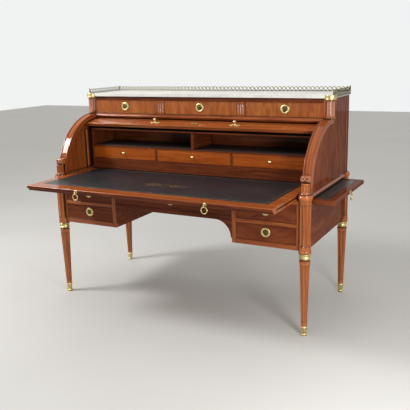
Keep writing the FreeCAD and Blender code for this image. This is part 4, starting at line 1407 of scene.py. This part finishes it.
# Painted light and shade: the sides' outer faces in the darker figured veneer, their inner faces in lighter
# mahogany
side_panels = dress("upper_sides", FIGURED, 0.8, 2)
paint_faces(
    side_panels, MAHOGANY,
    lambda centre, normal: normal.x * centre.x < 0 and abs(normal.x) > 0.9,
)
make_side_beads()
for name in ("lower_back", "upper_back", "dust_boards", "slide_guides"):
    dress(name, OAK)
make_back_frames()
make_cabinet()
dress("pivot_pins", IRON, 0.4)
make_slide("writing_slide")
make_leather("writing_leather")
make_ornament()
for name in ("left", "right"):
    make_slide("side_slide_" + name)
    make_leather("side_leather_" + name)
make_pulls()
for name in nodes_named("drawer_"):
    make_drawer(name)
make_locks()
make_knobs()


# Floor, light and camera

def make_floor():
    bpy.ops.object.select_all(action="DESELECT")
    bpy.ops.mesh.primitive_plane_add(size=24)
    floor = bpy.context.active_object
    floor.name = "floor"
    material, tree, shader = new_finish("pale_floor")
    spot = add(tree, "TexCoord").outputs["Object"]
    cloud = add(tree, "TexNoise", {"Vector": spot, "Scale": 1.2, "Detail": 5.0}).outputs["Fac"]
    tone = add(
        tree, "Mix", {0: cloud, 6: linear("#bebdba"), 7: linear("#cac9c6")}, data_type="RGBA"
    )
    set_inputs(tree, shader, {"Base Color": tone.outputs[2], "Roughness": 0.6})
    floor.data.materials.append(material)


def make_light(name, at, aim, size, power, lights=True):
    """A lamp; one that lights nothing is only mirrored in the polish and the brass."""
    lamp = bpy.data.lights.new(name, "AREA")
    lamp.shape = "RECTANGLE"
    lamp.size, lamp.size_y = size
    lamp.energy = power
    holder = bpy.data.objects.new(name, lamp)
    bpy.context.scene.collection.objects.link(holder)
    holder.location = at
    holder.rotation_euler = (Vector(aim) - Vector(at)).to_track_quat("-Z", "Y").to_euler()
    holder.visible_camera = False
    holder.visible_diffuse = lights


def make_world():
    """Soft daylight, stronger from above than from the sides, and a pale backdrop past the desk."""
    world = bpy.data.worlds.new("studio")
    bpy.context.scene.world = world
    world.use_nodes = True
    tree = world.node_tree
    tree.nodes.clear()
    path = add(tree, "LightPath").outputs
    bounced = {0: path["Is Glossy Ray"], 1: path["Is Transmission Ray"]}
    mirrored_in = add(tree, "Math", bounced, operation="MAXIMUM").outputs[0]
    seen = add(
        tree, "Math", {0: path["Is Camera Ray"], 1: mirrored_in}, operation="MAXIMUM"
    ).outputs[0]
    way = add(tree, "TexCoord").outputs["Generated"]
    height = add(tree, "SeparateXYZ", {0: way}).outputs["Z"]
    level = add(
        tree, "MapRange",
        {"Value": height, "From Min": 0.0, "From Max": 0.9, "To Min": 0.02, "To Max": 1.1},
    ).outputs[0]
    day = add(tree, "Background", {"Color": linear("#f4f1ec"), "Strength": level}).outputs[0]
    pale = add(tree, "Background", {"Color": linear("#f1f3f3"), "Strength": 1.0}).outputs[0]
    both = add(tree, "MixShader", {0: seen, 1: day, 2: pale}).outputs[0]
    add(tree, "OutputWorld", {"Surface": both})


def make_camera():
    lens = bpy.data.cameras.new("camera")
    lens.lens = LENS
    lens.sensor_width = SENSOR
    camera = bpy.data.objects.new("camera", lens)
    bpy.context.scene.collection.objects.link(camera)
    camera.location = CAMERA_AT
    camera.rotation_euler = [math.radians(a) for a in CAMERA_TURN]
    bpy.context.scene.camera = camera


make_floor()
make_world()
make_light("window", (-2.6, -1.5, 3.2), (0, -0.1, 1.0), size=(0.9, 0.9), power=108)
make_light("lamp", (2.0, -1.55, 1.1), (0.4, -0.3, 0.7), size=(0.5, 0.5), power=25)
make_light("left_panel", (-2.4, -1.6, 2.25), (-0.7, -0.2, 1.0), (0.35, 1.1), 34, lights=False)
make_light("right_panel", (2.9, -2.1, 1.2), (0.5, -0.3, 0.8), (0.8, 2.2), 20, lights=False)
make_camera()
bpy.context.scene.view_settings.view_transform = "Standard"
